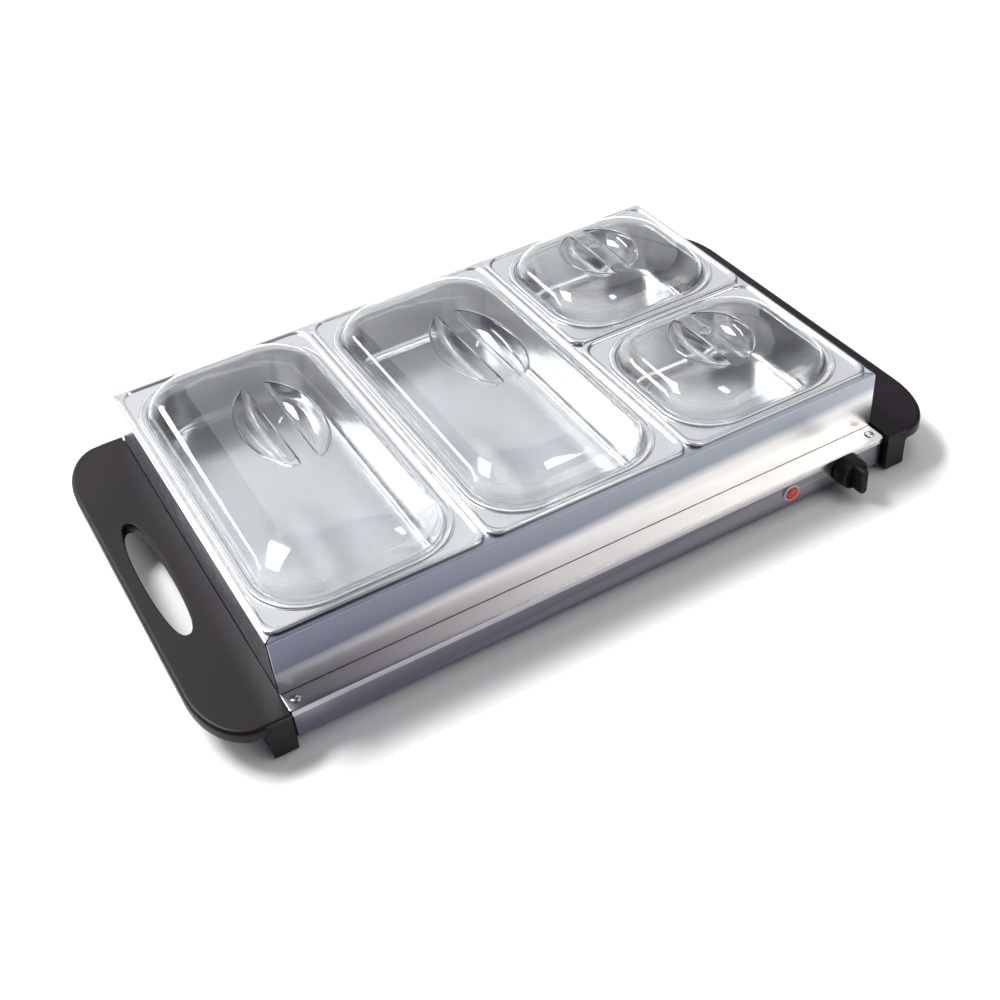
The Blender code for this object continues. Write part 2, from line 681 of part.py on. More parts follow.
def handle_screws():
    """Pan-head screws driven outward through the base wall into the handles' bosses."""
    profile = [(0.0022, 0.0028), (0.0036, 0.0018), (0.0036, 0), (0.0020, 0), (0.0020, -0.0115)]
    start = HALF - WALL_OUTER - SHEET - GAP
    for corner, x, y in handle_screw_places():
        side = 1 if x > 0 else -1
        flipped = [(radius, -side * height) for radius, height in profile]
        bm = turned(bmesh.new(), flipped, (0, 0, 0), "X", 10)
        piece(f"handle_screw_{corner}", bm, "inner_steel", world=(side * start, y, HANDLE_SCREW_Z))


def foot_pads():
    inset = 0.002
    for end, y0 in (("front", HANDLE_FRONT), ("back", HANDLE_BACK - LEG_SIZE[1])):
        for hand, side in (("left", -1), ("right", 1)):
            cx = side * (HALF + GAP + LEG_SIZE[0] / 2)
            half = (LEG_SIZE[0] / 2 - inset, LEG_SIZE[1] / 2 - inset)
            outline = corner_rect(*half, 0.002, 3)
            bm = prism(bmesh.new(), outline, 0, PAD_THICKNESS)
            piece(f"foot_pad_{end}_{hand}", bm, "rubber", world=(cx, y0 + LEG_SIZE[1] / 2, 0))


# ---------------------------------------------------------------- pan rack
def rack_panel(name, sign, half_run, wall_run, along_x):
    """Folded panel: wall, flange on top with mitred ends, hem below.

    half_run is half the rack's size along the panel, and wall_run half the length of the panel's wall.
    """
    across = (RACK_DEPTH if along_x else BASE_LENGTH) / 2
    mitre = 0.0004
    top, low = RACK_TOP, RACK_BOTTOM
    profile = [
        (0, low), (0, top), (RACK_FLANGE, top), (RACK_FLANGE, top - SHEET), (SHEET, top - SHEET),
        (SHEET, low + SHEET), (RACK_HEM, low + SHEET), (RACK_HEM, low),
    ]
    rings = []
    for end in (-1, 1):
        ring = []
        for depth, z in profile:
            run = end * (wall_run if depth <= SHEET else half_run - depth - mitre)
            away = sign * (across - depth)
            ring.append((run, away, z) if along_x else (away, run, z))
        rings.append(ring)
    piece(name, skin(bmesh.new(), rings), "brushed_steel", "rack_origin", (0, RACK_MID, 0), smooth=False)


def rack_panels():
    half_depth = RACK_DEPTH / 2
    side_run = half_depth - SHEET - CORNER_SEAM
    rack_panel("rack_front_panel", -1, HALF, HALF, True)
    rack_panel("rack_back_panel", 1, HALF, HALF, True)
    rack_panel("rack_left_panel", -1, half_depth, side_run, False)
    rack_panel("rack_right_panel", 1, half_depth, side_run, False)


def channel(name, centre, half_run, along_y):
    """Inverted channel between two pans, along Y or along X."""
    half = DIVIDER_WIDTH / 2
    top, leg = RACK_TOP, RACK_TOP - DIVIDER_LEG
    profile = [
        (-half, leg), (-half, top), (half, top), (half, leg), (half - SHEET, leg),
        (half - SHEET, top - SHEET), (-half + SHEET, top - SHEET), (-half + SHEET, leg),
    ]
    rings = []
    for run in (-half_run, half_run):
        rings.append([(across, run, z) if along_y else (run, across, z) for across, z in profile])
    return piece(name, skin(bmesh.new(), rings), "brushed_steel", "rack_origin", centre, smooth=False)


def divider_tabs(bar, half_run):
    """Joggled tabs at both ends of a divider, which pass under the rack's flanges."""
    reach = 0.008
    half = DIVIDER_WIDTH / 2 - 3 * SHEET
    low, mid, joined = RACK_TOP - 2 * SHEET - GAP, RACK_TOP - SHEET - GAP, RACK_TOP - SHEET / 2
    back, neck, tip = half_run - 0.006, half_run - SHEET, half_run + reach
    outline = [(back, low), (tip, low), (tip, mid), (neck, mid), (neck, joined), (back, joined)]
    tabs = bmesh.new()
    for side in (-1, 1):
        skin(tabs, [[(across, side * run, z) for run, z in outline] for across in (-half, half)])
    combine(bar, tabs, "UNION")


def rack_dividers():
    run = RACK_DEPTH / 2 - RACK_FLANGE - GAP
    for name, x in (("rack_divider_left", -COLUMN_PITCH / 2), ("rack_divider_right", COLUMN_PITCH / 2)):
        divider_tabs(channel(name, (x, RACK_MID, 0), run, True), run)
    start = COLUMN_PITCH / 2 + DIVIDER_WIDTH / 2 + GAP
    end = HALF - RACK_FLANGE - GAP
    channel("rack_cross_divider", ((start + end) / 2, RACK_MID, 0), (end - start) / 2, False)


# ---------------------------------------------------------------- pans and lids
def pan(name, half_x, half_y, parent, place):
    """Pressed pan: bottom, sloped walls, flat seat for the lid, rolled and turned-down rim."""
    t, low, seat = PAN_SHEET, -PAN_DROP, -SEAT_DROP
    stations = [
        (0.0270, 0.034, low + t), (0.0215, 0.038, low + t + 0.0018), (0.0185, 0.039, low + t + 0.0060),
        (0.0132, 0.041, seat - 0.0018), (0.0118, 0.042, seat), (0.0050, 0.0140, seat),
        (0.0036, 0.0130, -0.0002), (0.0016, 0.0120, 0.0), (0.0, RIM_CORNER, -0.0010),
        (0.0, RIM_CORNER, -RIM_HEIGHT), (t, RIM_CORNER - t, -RIM_HEIGHT),
        (t, RIM_CORNER - t, -0.0014), (0.0050, 0.0140, seat - t),
        (0.0115, 0.0420, seat - t), (0.0125, 0.041, seat - t - 0.0018), (0.0178, 0.039, low + 0.0060),
        (0.0210, 0.038, low + 0.0014), (0.0265, 0.034, low),
    ]
    rings = [rect_ring(half_x - inset, half_y - inset, radius, z) for inset, radius, z in stations]
    piece(name, skin(bmesh.new(), rings), "pan_steel", parent, place)


DOME = [
    (0.0052, 0.0016), (0.0064, 0.0045), (0.0090, 0.0100), (0.0150, 0.0155), (0.0260, 0.0200),
    (0.0440, 0.0240), (0.0690, 0.0262),
]


def dome_rings(half_x, half_y, inward, down, first):
    rings = []
    for inset, z in [first] + [(a + inward, b - down) for a, b in DOME[1:]]:
        radius = min(LID_CORNER - inset * 0.35, (min(half_x, half_y) - inset) * 0.9)
        rings.append(rect_ring(half_x - inset, half_y - inset, radius, z))
    return rings


def well_outline(side, centre, half_length, grow=0.0, count=12):
    """One finger well: straight along the grip bar, elliptical outside."""
    a, b = WELL_HALF_WIDTH + grow, half_length + grow
    inner = BAR_HALF_WIDTH - grow
    limit = asin(sqrt(1 - (inner / a) ** 2))
    angles = [limit * (2 * k / count - 1) for k in range(count + 1)]
    return [(centre[0] + side * a * cos(angle), centre[1] + b * sin(angle)) for angle in angles]


def lid(name, half_x, half_y, wells, parent, place):
    """Clear dome on a flat flange, with two finger wells that leave a grip bar between them."""
    outer = [rect_ring(half_x, half_y, LID_CORNER, 0), rect_ring(half_x, half_y, LID_CORNER, LID_FLANGE)]
    outer += dome_rings(half_x, half_y, 0, 0, DOME[0])
    body = piece(name, skin(bmesh.new(), outer), "clear_plastic", parent, place)
    start = (DOME[1][0] + LID_SHEET * 0.8, -0.001)
    inner = dome_rings(half_x, half_y, LID_SHEET * 0.8, LID_SHEET, start)
    hollow = to_object(f"{name}_hollow", skin(bmesh.new(), inner), parent, place)
    centre, half_length, floor = wells
    keep = bmesh.new()
    cuts = bmesh.new()
    for side in (-1, 1):
        prism(keep, well_outline(side, centre, half_length, LID_SHEET), floor - LID_SHEET, ABOVE_DOME)
        prism(cuts, well_outline(side, centre, half_length), floor, ABOVE_DOME)
    combine(hollow, keep)
    use_tool(body, hollow)
    combine(body, cuts)


def pans_and_lids():
    large = LARGE_PAN_DEPTH / 2
    small = SMALL_PAN_DEPTH / 2
    plan = [
        ("large_left", -COLUMN_PITCH, 0.0, large, LARGE_WELLS),
        ("large_middle", 0.0, 0.0, large, LARGE_WELLS),
        ("small_back", COLUMN_PITCH, SMALL_PAN_SHIFT, small, SMALL_WELLS),
        ("small_front", COLUMN_PITCH, -SMALL_PAN_SHIFT, small, SMALL_WELLS),
    ]
    for label, x, shift, half_y, wells in plan:
        pan_at = (x, RACK_MID + shift, RIM_TOP)
        lid_at = (x, RACK_MID + shift, LID_SEAT)
        pan_origin = joint_empty(f"pan_{label}_origin", pan_at, "rack_origin")
        lid_origin = joint_empty(f"lid_{label}_origin", lid_at, pan_origin)
        pan(f"pan_{label}", PAN_WIDTH / 2, half_y, pan_origin, pan_at)
        lid(f"lid_{label}", PAN_WIDTH / 2 - LID_INSET, half_y - LID_INSET, wells, lid_origin, lid_at)


# ---------------------------------------------------------------- assembly
def build():
    clear_scene()
    joint_empty("base_origin", (0, 0, 0))
    joint_empty("knob_axis", (KNOB_X, BASE_FRONT, CONTROL_Z), "base_origin")
    joint_empty("rack_origin", (0, RACK_MID, RACK_BOTTOM), "base_origin")
    for make in (
        warming_plate, base_housing, bottom_cover, cover_screws, heat_spreader, heating_element,
        element_terminals, element_clamps, heat_reflector, insulation_blanket, support_pillars,
        thermostat, thermostat_shaft, control_knob, indicator_lamp, cord_gland, terminal_block,
        thermal_fuse, earth_stud, lead_wires, handle_screws, foot_pads, rack_panels, rack_dividers,
        pans_and_lids,
    ):
        make()
    handle("left_handle", -1)
    handle("right_handle", 1)


build()
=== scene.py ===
"""Looks of the electric buffet server: finished meshes, materials, studio and camera round the CAD frame.

Units are metres in the CAD's own frame: +Z is up and the front, with the knob, faces -Y.
"""
from math import cos, pi, radians, sin

import bmesh
import bpy
import numpy as np
from mathutils import Matrix, Vector
from mathutils.geometry import delaunay_2d_cdt


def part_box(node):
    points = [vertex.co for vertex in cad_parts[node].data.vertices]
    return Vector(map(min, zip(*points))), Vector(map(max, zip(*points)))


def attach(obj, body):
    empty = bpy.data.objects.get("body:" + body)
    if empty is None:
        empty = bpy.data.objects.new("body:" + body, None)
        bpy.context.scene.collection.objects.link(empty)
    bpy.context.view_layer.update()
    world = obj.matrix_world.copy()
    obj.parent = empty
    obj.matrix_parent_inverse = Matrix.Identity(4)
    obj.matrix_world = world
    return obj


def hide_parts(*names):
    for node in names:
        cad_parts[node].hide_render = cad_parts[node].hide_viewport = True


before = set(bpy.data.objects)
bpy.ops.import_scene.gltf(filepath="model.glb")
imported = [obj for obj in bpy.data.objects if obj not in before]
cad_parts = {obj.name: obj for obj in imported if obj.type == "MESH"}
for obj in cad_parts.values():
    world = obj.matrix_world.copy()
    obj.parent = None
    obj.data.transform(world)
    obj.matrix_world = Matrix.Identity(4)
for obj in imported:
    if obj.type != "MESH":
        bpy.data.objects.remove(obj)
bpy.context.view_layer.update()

MM = 0.001

# ---------------------------------------------------------------- camera and studio
CAMERA_PLACE = Vector((-0.4123, -0.83495, 0.7798))
CAMERA_FORWARD = Vector((0.33217, 0.67843, -0.65528))
CAMERA_UP = Vector((0.37461, 0.54270, 0.75176))
LENS = 50.33
WORLD_DARK = (0.055, 0.058, 0.070)     # low in front
WORLD_BRIGHT = (0.27, 0.28, 0.31)      # high and behind
WORLD_UP = (0.0, 0.45, 0.90)           # the way in which the sky brightens
BACKDROP = (0.96, 0.96, 0.96)
FLOOR_SIZE = 7.0

# Name, place, aim, width, height, watts, colour
SOFTBOXES = (
    ("key", (-2.0, 3.1, 5.0), (0.0, 0.0, 0.0), 2.6, 1.5, 430.0, (1.0, 0.988, 0.97)),
    ("card_back", (0.70, 1.50, 1.50), (0.0, 0.0, 0.08), 2.2, 1.3, 7.0, (0.97, 0.985, 1.0)),
    ("card_wall", (0.60, 2.60, 0.70), (0.0, 0.0, 0.08), 4.0, 1.2, 11.0, (1.0, 1.0, 1.0)),
    ("card_front", (1.30, -1.35, 1.40), (0.0, -0.16, 0.05), 1.9, 1.2, 13.5, (1.0, 0.975, 0.94)),
    ("strip_left", (-1.25, 1.35, 0.90), (0.0, 0.0, 0.08), 1.2, 0.22, 14.0, (1.0, 1.0, 1.0)),
    ("strip_top", (0.70, 0.05, 1.95), (0.1, 0.0, 0.08), 0.5, 0.14, 3.0, (1.0, 1.0, 1.0)),
)

# ---------------------------------------------------------------- painted reflections graded into the brushed steel
# Where painted reflections of the studio set in on the steel; these grades stand in for light and shade, not
# the steel's own colour.
PAINTED_REFLECTION_ACROSS = (-0.28, 0.28)    # from the left tone to the right one
PAINTED_REFLECTION_RISE = 0.030              # slope of the line where the front skirt's lower tone starts
PAINTED_REFLECTION_RANGE = (-0.064, -0.054)  # heights over which it sets in, below zero
PAINTED_REFLECTION_WAVER = 0.006
# Edge colour of the brushed steel: partly polish, partly a painted highlight along the folds.
EDGE_POLISH_AND_HIGHLIGHT = (0.86, 0.87, 0.90)

# ---------------------------------------------------------------- finished section sizes
SHEET = 0.8 * MM
FOLD = 1.1 * MM                 # outside radius of the folded steel edges
LIP_HEIGHT = 6.0 * MM
CORNER_PLATE = 2.5 * MM         # plan corner of the warming plate
WALL_SETBACK = 1.1 * MM         # housing wall behind the plate's lip
HOUSING_FLANGE = 14.0 * MM
PIP_RADIUS = 4.2 * MM
PIP_HEIGHT = 1.5 * MM
PIP_INSET = (9.0 * MM, 9.4 * MM)
SHAFT_HOLE = 5.2 * MM           # radii of the openings in the housing wall
LAMP_HOLE = 5.6 * MM
GLAND_HOLE = 7.2 * MM
RACK_GAP = 0.3 * MM             # between the plate and the rack
RACK_FLANGE = 12.0 * MM
RACK_HEM = 7.0 * MM
HEM_FOLD = 0.4 * MM             # outside radius of the fold under the rack's walls
FRONT_SEAM = 1.6 * MM           # open seams between the rack's folded panels
BACK_SEAM = 0.5 * MM
MITRE_GAP = 0.4 * MM

HANDLE_SKIRT = 10.0 * MM
HANDLE_WALL = 2.5 * MM
HANDLE_EDGE = 3.2 * MM          # round of the handle's outer top edge
HOLE_EDGE = 1.4 * MM
GUARD = 0.8 * MM                # flat margin that keeps a rounded edge's shading off the flat beside it
HANDLE_CORNER = (36.0 * MM, 60.0 * MM)
LEG_SIZE = (19.2 * MM, 22.0 * MM)
LEG_FILLET = 3.0 * MM
HAND_HOLE_HALF = (11.5 * MM, 73.8 * MM)
HAND_HOLE_OFFSET = 34.2 * MM
HOLE_POINTS = 56

RIM_CORNER = 11.0 * MM
LID_CORNER = 47.0 * MM
LID_WALL = 1.3 * MM
WELL_HALF_WIDTH = 32.0 * MM
BAR_HALF_WIDTH = 8.8 * MM
CORNER_STEPS = 12

# Finger wells: centre on the lid, half length, depth
LARGE_WELLS = ((7.6 * MM, 19.5 * MM), 59.5 * MM, 18.0 * MM)
SMALL_WELLS = ((-7.9 * MM, 3.4 * MM), 40.0 * MM, 15.2 * MM)
# Marks on the grip bar: centre from the middle of the wells, radius of the ring, radius of the button
LARGE_MARK = ((1.0, 2.5), 0.0, 1.2)
SMALL_MARK = ((0.0, 7.5), 5.0, 2.3)


# ---------------------------------------------------------------- material helpers
def shade(colour, share):
    return tuple(min(c * share, 1.0) for c in colour)


class Surface:
    """A Principled material, and short ways to feed it from procedural nodes."""

    def __init__(self, name, colour, roughness, metallic=0.0, **settings):
        self.material = bpy.data.materials.new(name)
        self.material.use_nodes = True
        self.nodes = self.material.node_tree.nodes
        self.links = self.material.node_tree.links
        self.shader = self.nodes["Principled BSDF"]
        values = {"Base Color": (*colour, 1.0), "Roughness": roughness, "Metallic": metallic}
        values.update(settings)
        for socket, value in values.items():
            self.shader.inputs[socket].default_value = value
        self.place = self.nodes.new("ShaderNodeTexCoord").outputs["Object"]

    def add(self, kind, inputs=(), **properties):
        """A node with its properties set and its inputs set or linked."""
        node = self.nodes.new(kind)
        for key, value in properties.items():
            setattr(node, key, value)
        for socket, value in dict(inputs).items():
            if isinstance(value, bpy.types.NodeSocket):
                self.links.new(value, node.inputs[socket])
            else:
                node.inputs[socket].default_value = value
        return node

    def noise(self, scale, detail=3.0, rough=0.5, stretch=(1.0, 1.0, 1.0), turn=0.0):
        """Noise in metres of the part's own space; stretch multiplies the frequency along each axis."""
        inputs = {"Vector": self.place, "Scale": stretch, "Rotation": (0.0, 0.0, turn)}
        mapped = self.add("ShaderNodeMapping", inputs).outputs[0]
        inputs = {"Vector": mapped, "Scale": scale, "Detail": detail, "Roughness": rough}
        return self.add("ShaderNodeTexNoise", inputs).outputs["Fac"]

    def cells(self, scale):
        """Distance from the middle of each Voronoi cell."""
        return self.add("ShaderNodeTexVoronoi", {"Vector": self.place, "Scale": scale}).outputs["Distance"]

    def ranged(self, value, low, high, source=(0.3, 0.7)):
        """Map a noise value from its usual range to low..high."""
        inputs = {0: value, 1: source[0], 2: source[1], 3: low, 4: high}
        return self.add("ShaderNodeMapRange", inputs).outputs[0]

    def math(self, operation, a, b):
        return self.add("ShaderNodeMath", {0: a, 1: b}, operation=operation).outputs[0]

    def blend(self, factor, first, second):
        """Mix two colours; each is a colour or a socket."""
        node = self.add("ShaderNodeMix", data_type="RGBA")
        for socket, value in ((node.inputs[0], factor), (node.inputs[6], first), (node.inputs[7], second)):
            if isinstance(value, bpy.types.NodeSocket):
                self.links.new(value, socket)
            else:
                socket.default_value = (*value, 1.0) if isinstance(value, tuple) else value
        return node.outputs[2]

    def shades(self, factor, colour, low, high):
        """Mix two shades of one colour."""
        return self.blend(factor, shade(colour, low), shade(colour, high))

    def edges(self, low=0.52, high=0.62):
        """1 on convex edges, where handling and polishing leave their marks, and where some finishes paint a
        highlight.
        """
        pointed = self.add("ShaderNodeNewGeometry").outputs["Pointiness"]
        return self.ranged(pointed, 0.0, 1.0, (low, high))

    def bump(self, *layers):
        """Layers of (height, strength, distance), the first one innermost."""
        normal = None
        for height, strength, distance in layers:
            inputs = {"Height": height, "Strength": strength, "Distance": distance}
            if normal:
                inputs["Normal"] = normal
            normal = self.add("ShaderNodeBump", inputs).outputs[0]
        self.links.new(normal, self.shader.inputs["Normal"])

    def feed(self, socket, value):
        self.links.new(value, self.shader.inputs[socket])


def brushed_steel(name, along, colour=(0.60, 0.61, 0.66), rough=0.24, right=None, painted_reflection_below=None, turn="Z"):
    """Sheet steel brushed along X or Y: fine grain, longer streaks, faint handling clouds, and edges painted
    lighter, partly as polish and partly as a painted highlight.

    Painted reflections: towards the right end it grades into the colour right, and under a line that rises
    to the right it grades into the lower colour; both grades stand in for studio reflections, not the
    steel's own colour.
    The gloss of its grain runs round the axis turn: Z for walls, Y for a flat sheet.
    """
    made = Surface(name, colour, rough, 1.0, Anisotropic=0.4)
    made.feed("Tangent", made.add("ShaderNodeTangent", direction_type="RADIAL", axis=turn).outputs[0])

    def grained(length, across):
        """Frequencies per metre for marks of this length and width."""
        long, fine = 1 / length, 1 / across
        return (long, fine, fine) if along == "X" else (fine, long, fine)

    fine = made.noise(1.0, 2.0, 0.6, grained(0.040, 0.0006))
    streak = made.noise(1.0, 3.0, 0.55, grained(0.220, 0.0035))
    cloud = made.noise(7.0, 4.0, 0.6)
    edge = made.edges()
    tone = made.shades(made.ranged(streak, 0.0, 1.0), colour, 0.95, 1.05)
    tone = made.blend(made.ranged(cloud, 0.0, 0.35), tone, shade(colour, 0.95))
    x, _, z = made.add("ShaderNodeSeparateXYZ", {0: made.place}).outputs
    # Painted reflections: a grade to the right-hand colour across the part, and a grade to the lower colour
    # under a rising line.
    if right:
        tone = made.blend(made.ranged(x, 0.0, 1.0, PAINTED_REFLECTION_ACROSS), tone, right)
    if painted_reflection_below:
        depth = made.math("SUBTRACT", made.math("MULTIPLY", x, PAINTED_REFLECTION_RISE), z)
        depth = made.math("ADD", depth, made.math("MULTIPLY", made.noise(5.0, 2.0), PAINTED_REFLECTION_WAVER))
        tone = made.blend(made.ranged(depth, 0.0, 1.0, PAINTED_REFLECTION_RANGE), tone, painted_reflection_below)
    # Edges painted lighter: partly polish, partly a painted highlight.
    made.feed("Base Color", made.blend(edge, tone, EDGE_POLISH_AND_HIGHLIGHT))
    gloss = made.math("ADD", made.ranged(fine, -0.03, 0.03), made.ranged(cloud, rough - 0.02, rough + 0.03))
    gloss = made.math("SUBTRACT", gloss, made.math("MULTIPLY", edge, 0.06))
    made.feed("Roughness", gloss)
    made.bump((cloud, 0.008, 0.0012), (streak, 0.012, 0.00025), (fine, 0.07, 0.0001))
    return made.material


def pan_steel():
    """Pressed steel with a satin finish: soft drawing marks, tiny pits, and bends painted lighter, partly as
    polish and partly as a painted highlight.
    """
    colour = (0.66, 0.665, 0.675)
    made = Surface("pan_steel", colour, 0.24, 1.0)
    cloud = made.noise(11.0, 3.0, 0.5)
    satin = made.noise(900.0, 3.0, 0.7)
    drawn = made.noise(1.0, 2.0, 0.5, (700.0, 700.0, 9.0))
    edge = made.edges(0.515, 0.60)
    tone = made.shades(made.ranged(cloud, 0.0, 1.0), colour, 0.98, 1.02)
    # Bends painted lighter: partly polish, partly a painted highlight.
    made.feed("Base Color", made.blend(edge, tone, (0.88, 0.89, 0.90)))
    gloss = made.math("ADD", made.ranged(cloud, 0.22, 0.26), made.ranged(satin, -0.02, 0.02))
    made.feed("Roughness", made.math("SUBTRACT", gloss, made.math("MULTIPLY", edge, 0.10)))
    made.bump((cloud, 0.015, 0.0010), (drawn, 0.015, 0.0001), (satin, 0.03, 0.00006))
    return made.material


def plain_metal(name, colour, roughness, grain):
    """Mill-finish metal of the inner parts, with rolling marks and dull patches."""
    made = Surface(name, colour, roughness, 1.0)
    cloud = made.noise(22.0, 4.0, 0.6)
    fine = made.noise(1.0, 3.0, 0.6, grain)
    tone = made.shades(made.ranged(cloud, 0.0, 1.0), colour, 0.78, 1.0)
    # Edges painted lighter: partly polish, partly a painted highlight.
    made.feed("Base Color", made.blend(made.edges(), tone, shade(colour, 1.25)))
    dull = made.ranged(cloud, roughness - 0.06, roughness + 0.10)
    made.feed("Roughness", made.math("ADD", dull, made.ranged(fine, -0.05, 0.05)))
    made.bump((cloud, 0.10, 0.0008), (fine, 0.12, 0.0001))
    return made.material


def moulded_plastic(name, colour, roughness, wear):
    """Moulded plastic with a fine eroded texture, cloudy gloss and edges polished by hands."""
    made = Surface(name, colour, roughness, 0.0, **{"Specular IOR Level": 0.16})
    cloud = made.noise(9.0, 4.0, 0.6)
    grain = made.noise(1500.0, 2.0, 0.6)
    cells = made.cells(1200.0)
    edge = made.edges()
    tone = made.shades(made.ranged(cloud, 0.0, 1.0), colour, 0.82, 1.18)
    made.feed("Base Color", made.blend(edge, tone, wear))
    gloss = made.ranged(cloud, roughness - 0.05, roughness + 0.06)
    gloss = made.math("ADD", gloss, made.ranged(grain, -0.04, 0.04))
    made.feed("Roughness", made.math("SUBTRACT", gloss, made.math("MULTIPLY", edge, 0.08)))
    made.bump((cloud, 0.05, 0.001), (cells, 0.10, 0.00012), (grain, 0.12, 0.0001))
    return made.material


def clear_plastic():
    """Clear lid plastic: slight wave from moulding, wipe marks, fine scratches, and edges whitened as a
    painted highlight.
    """
    settings = {"Transmission Weight": 1.0, "IOR": 1.47}
    made = Surface("clear_plastic", (0.97, 0.985, 0.99), 0.03, 0.0, **settings)
    wave = made.noise(26.0, 2.0, 0.4)
    wipe = made.noise(1.0, 4.0, 0.6, (14.0, 60.0, 14.0), 0.5)
    scratch = made.noise(1.0, 2.0, 0.7, (26.0, 1400.0, 26.0), 0.9)
    edge = made.edges(0.509, 0.533)
    gloss = made.math("ADD", made.ranged(wipe, 0.02, 0.06), made.ranged(scratch, 0.0, 0.015))
    made.feed("Roughness", made.math("ADD", gloss, made.math("MULTIPLY", edge, 0.12)))
    # Painted highlight: edges turn partly white and opaque, standing in for light caught on the rims of the
    # wells.
    made.feed("Transmission Weight", made.ranged(edge, 1.0, 0.35, (0.0, 1.0)))
    made.bump((wave, 0.03, 0.0008), (scratch, 0.015, 0.00005))
    return made.material


def red_lens():
    """Red lens with moulded rings on a glowing ground."""
    settings = {"Transmission Weight": 0.35, "IOR": 1.49, "Coat Weight": 0.6, "Coat Roughness": 0.04}
    settings.update({"Emission Color": (0.80, 0.02, 0.01, 1.0), "Emission Strength": 0.10})
    made = Surface("red_lens", (0.62, 0.018, 0.012), 0.16, 0.0, **settings)
    cells = made.cells(900.0)
    cloud = made.noise(300.0, 2.0)
    tone = made.blend(made.ranged(cloud, 0.0, 1.0), (0.50, 0.010, 0.008), (0.74, 0.030, 0.018))
    made.feed("Base Color", tone)
    made.feed("Roughness", made.ranged(cloud, 0.10, 0.22))
    made.bump((cells, 0.35, 0.0003))
    return made.material


def soft_matter(name, colour, dark, roughness, scale, depth):
    """Rough materials: rubber, mineral wool, ceramic and woven sleeve."""
    made = Surface(name, colour, roughness)
    coarse = made.noise(scale / 8, 4.0, 0.6)
    fine = made.noise(scale, 3.0, 0.7)
    made.feed("Base Color", made.blend(made.ranged(coarse, 0.0, 1.0), dark, colour))
    made.feed("Roughness", made.ranged(fine, roughness - 0.10, min(roughness + 0.08, 1.0)))
    made.bump((coarse, 0.2, depth * 2), (fine, 0.35, depth))
    return made.material


FINISHES = (
    brushed_steel("brushed_steel", "X"),
    brushed_steel("brushed_steel_y", "Y"),
    # Painted reflections: the skirt's dark blue-grey, its lighter right end and its cream lower band stand
    # in for the studio reflected in the front skirt.
    brushed_steel("skirt_steel_painted_reflection", "X", (0.16, 0.17, 0.235), 0.32, (0.41, 0.45, 0.50), (0.96, 0.945, 0.92)),
    # Painted reflection: the housing wall's dark purple tones stand in for the shaded floor that the wall
    # reflects.
    brushed_steel("housing_steel_painted_reflection", "X", (0.30, 0.270, 0.35), 0.24, (0.18, 0.17, 0.20)),
    # Painted reflection: the plate grades from dark at the left to pale at the right, standing in for the
    # studio it reflects.
    brushed_steel("plate_steel_painted_reflection", "X", (0.33, 0.31, 0.37), 0.24, (0.86, 0.85, 0.84), turn="Y"),
    pan_steel(),
    plain_metal("inner_steel", (0.46, 0.46, 0.47), 0.42, (30.0, 900.0, 900.0)),
    plain_metal("aluminium", (0.74, 0.75, 0.76), 0.34, (900.0, 20.0, 900.0)),
    plain_metal("brass", (0.72, 0.53, 0.24), 0.28, (700.0, 700.0, 700.0)),
    moulded_plastic("black_plastic", (0.0100, 0.0065, 0.0100), 0.42, (0.030, 0.026, 0.032)),
    moulded_plastic("knob_plastic", (0.011, 0.010, 0.012), 0.40, (0.060, 0.055, 0.060)),
    moulded_plastic("white_plastic", (0.80, 0.79, 0.77), 0.30, (0.88, 0.88, 0.87)),
    clear_plastic(),
    red_lens(),
    soft_matter("rubber", (0.022, 0.022, 0.023), (0.012, 0.012, 0.013), 0.78, 900.0, 0.0002),
    soft_matter("mineral_wool", (0.66, 0.60, 0.42), (0.42, 0.36, 0.24), 0.9, 400.0, 0.002),
    soft_matter("ceramic", (0.84, 0.81, 0.75), (0.74, 0.70, 0.63), 0.55, 700.0, 0.0002),
    soft_matter("wire_sleeve", (0.50, 0.08, 0.06), (0.32, 0.05, 0.04), 0.65, 1600.0, 0.0002),
)
MATERIALS = {made.name.split(".")[0]: made for made in FINISHES}


def finish_cad_nodes():
    """Every CAD node that stays in view takes the procedural material of its slot."""
    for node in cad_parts.values():
        for holder in node.material_slots:
            holder.material = MATERIALS[holder.material.name.split(".")[0]]


# ---------------------------------------------------------------- mesh helpers
def finish_piece(name, bm, body, material, stands_for, smooth_below=34.0):
    """Turn a bmesh in the CAD's frame into a piece that rides on a body."""
    bmesh.ops.recalc_face_normals(bm, faces=bm.faces)
    mesh = bpy.data.meshes.new(name)
    bm.to_mesh(mesh)
    bm.free()
    mesh.materials.append(MATERIALS[material])
    mesh.shade_smooth()
    mesh.set_sharp_from_angle(angle=radians(smooth_below))
    thing = bpy.data.objects.new(name, mesh)
    bpy.context.scene.collection.objects.link(thing)
    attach(thing, body)
    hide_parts(*stands_for)
    return thing


def apply_modifiers(thing):
    """Keep the mesh that the modifiers make, and drop them."""
    graph = bpy.context.evaluated_depsgraph_get()
    made = bpy.data.meshes.new_from_object(thing.evaluated_get(graph))
    made.shade_smooth()
    made.set_sharp_from_angle(angle=radians(30))
    thing.modifiers.clear()
    thing.data = made


def combine(thing, bm, operation):
    """Join a closed bmesh to a piece, or cut it out of the piece."""
    bmesh.ops.recalc_face_normals(bm, faces=bm.faces)
    mesh = bpy.data.meshes.new("tool")
    bm.to_mesh(mesh)
    bm.free()
    tool = bpy.data.objects.new("tool", mesh)
    bpy.context.scene.collection.objects.link(tool)
    step = thing.modifiers.new(operation, "BOOLEAN")
    step.operation = operation
    step.solver = "EXACT"
    step.object = tool
    apply_modifiers(thing)
    bpy.data.objects.remove(tool)


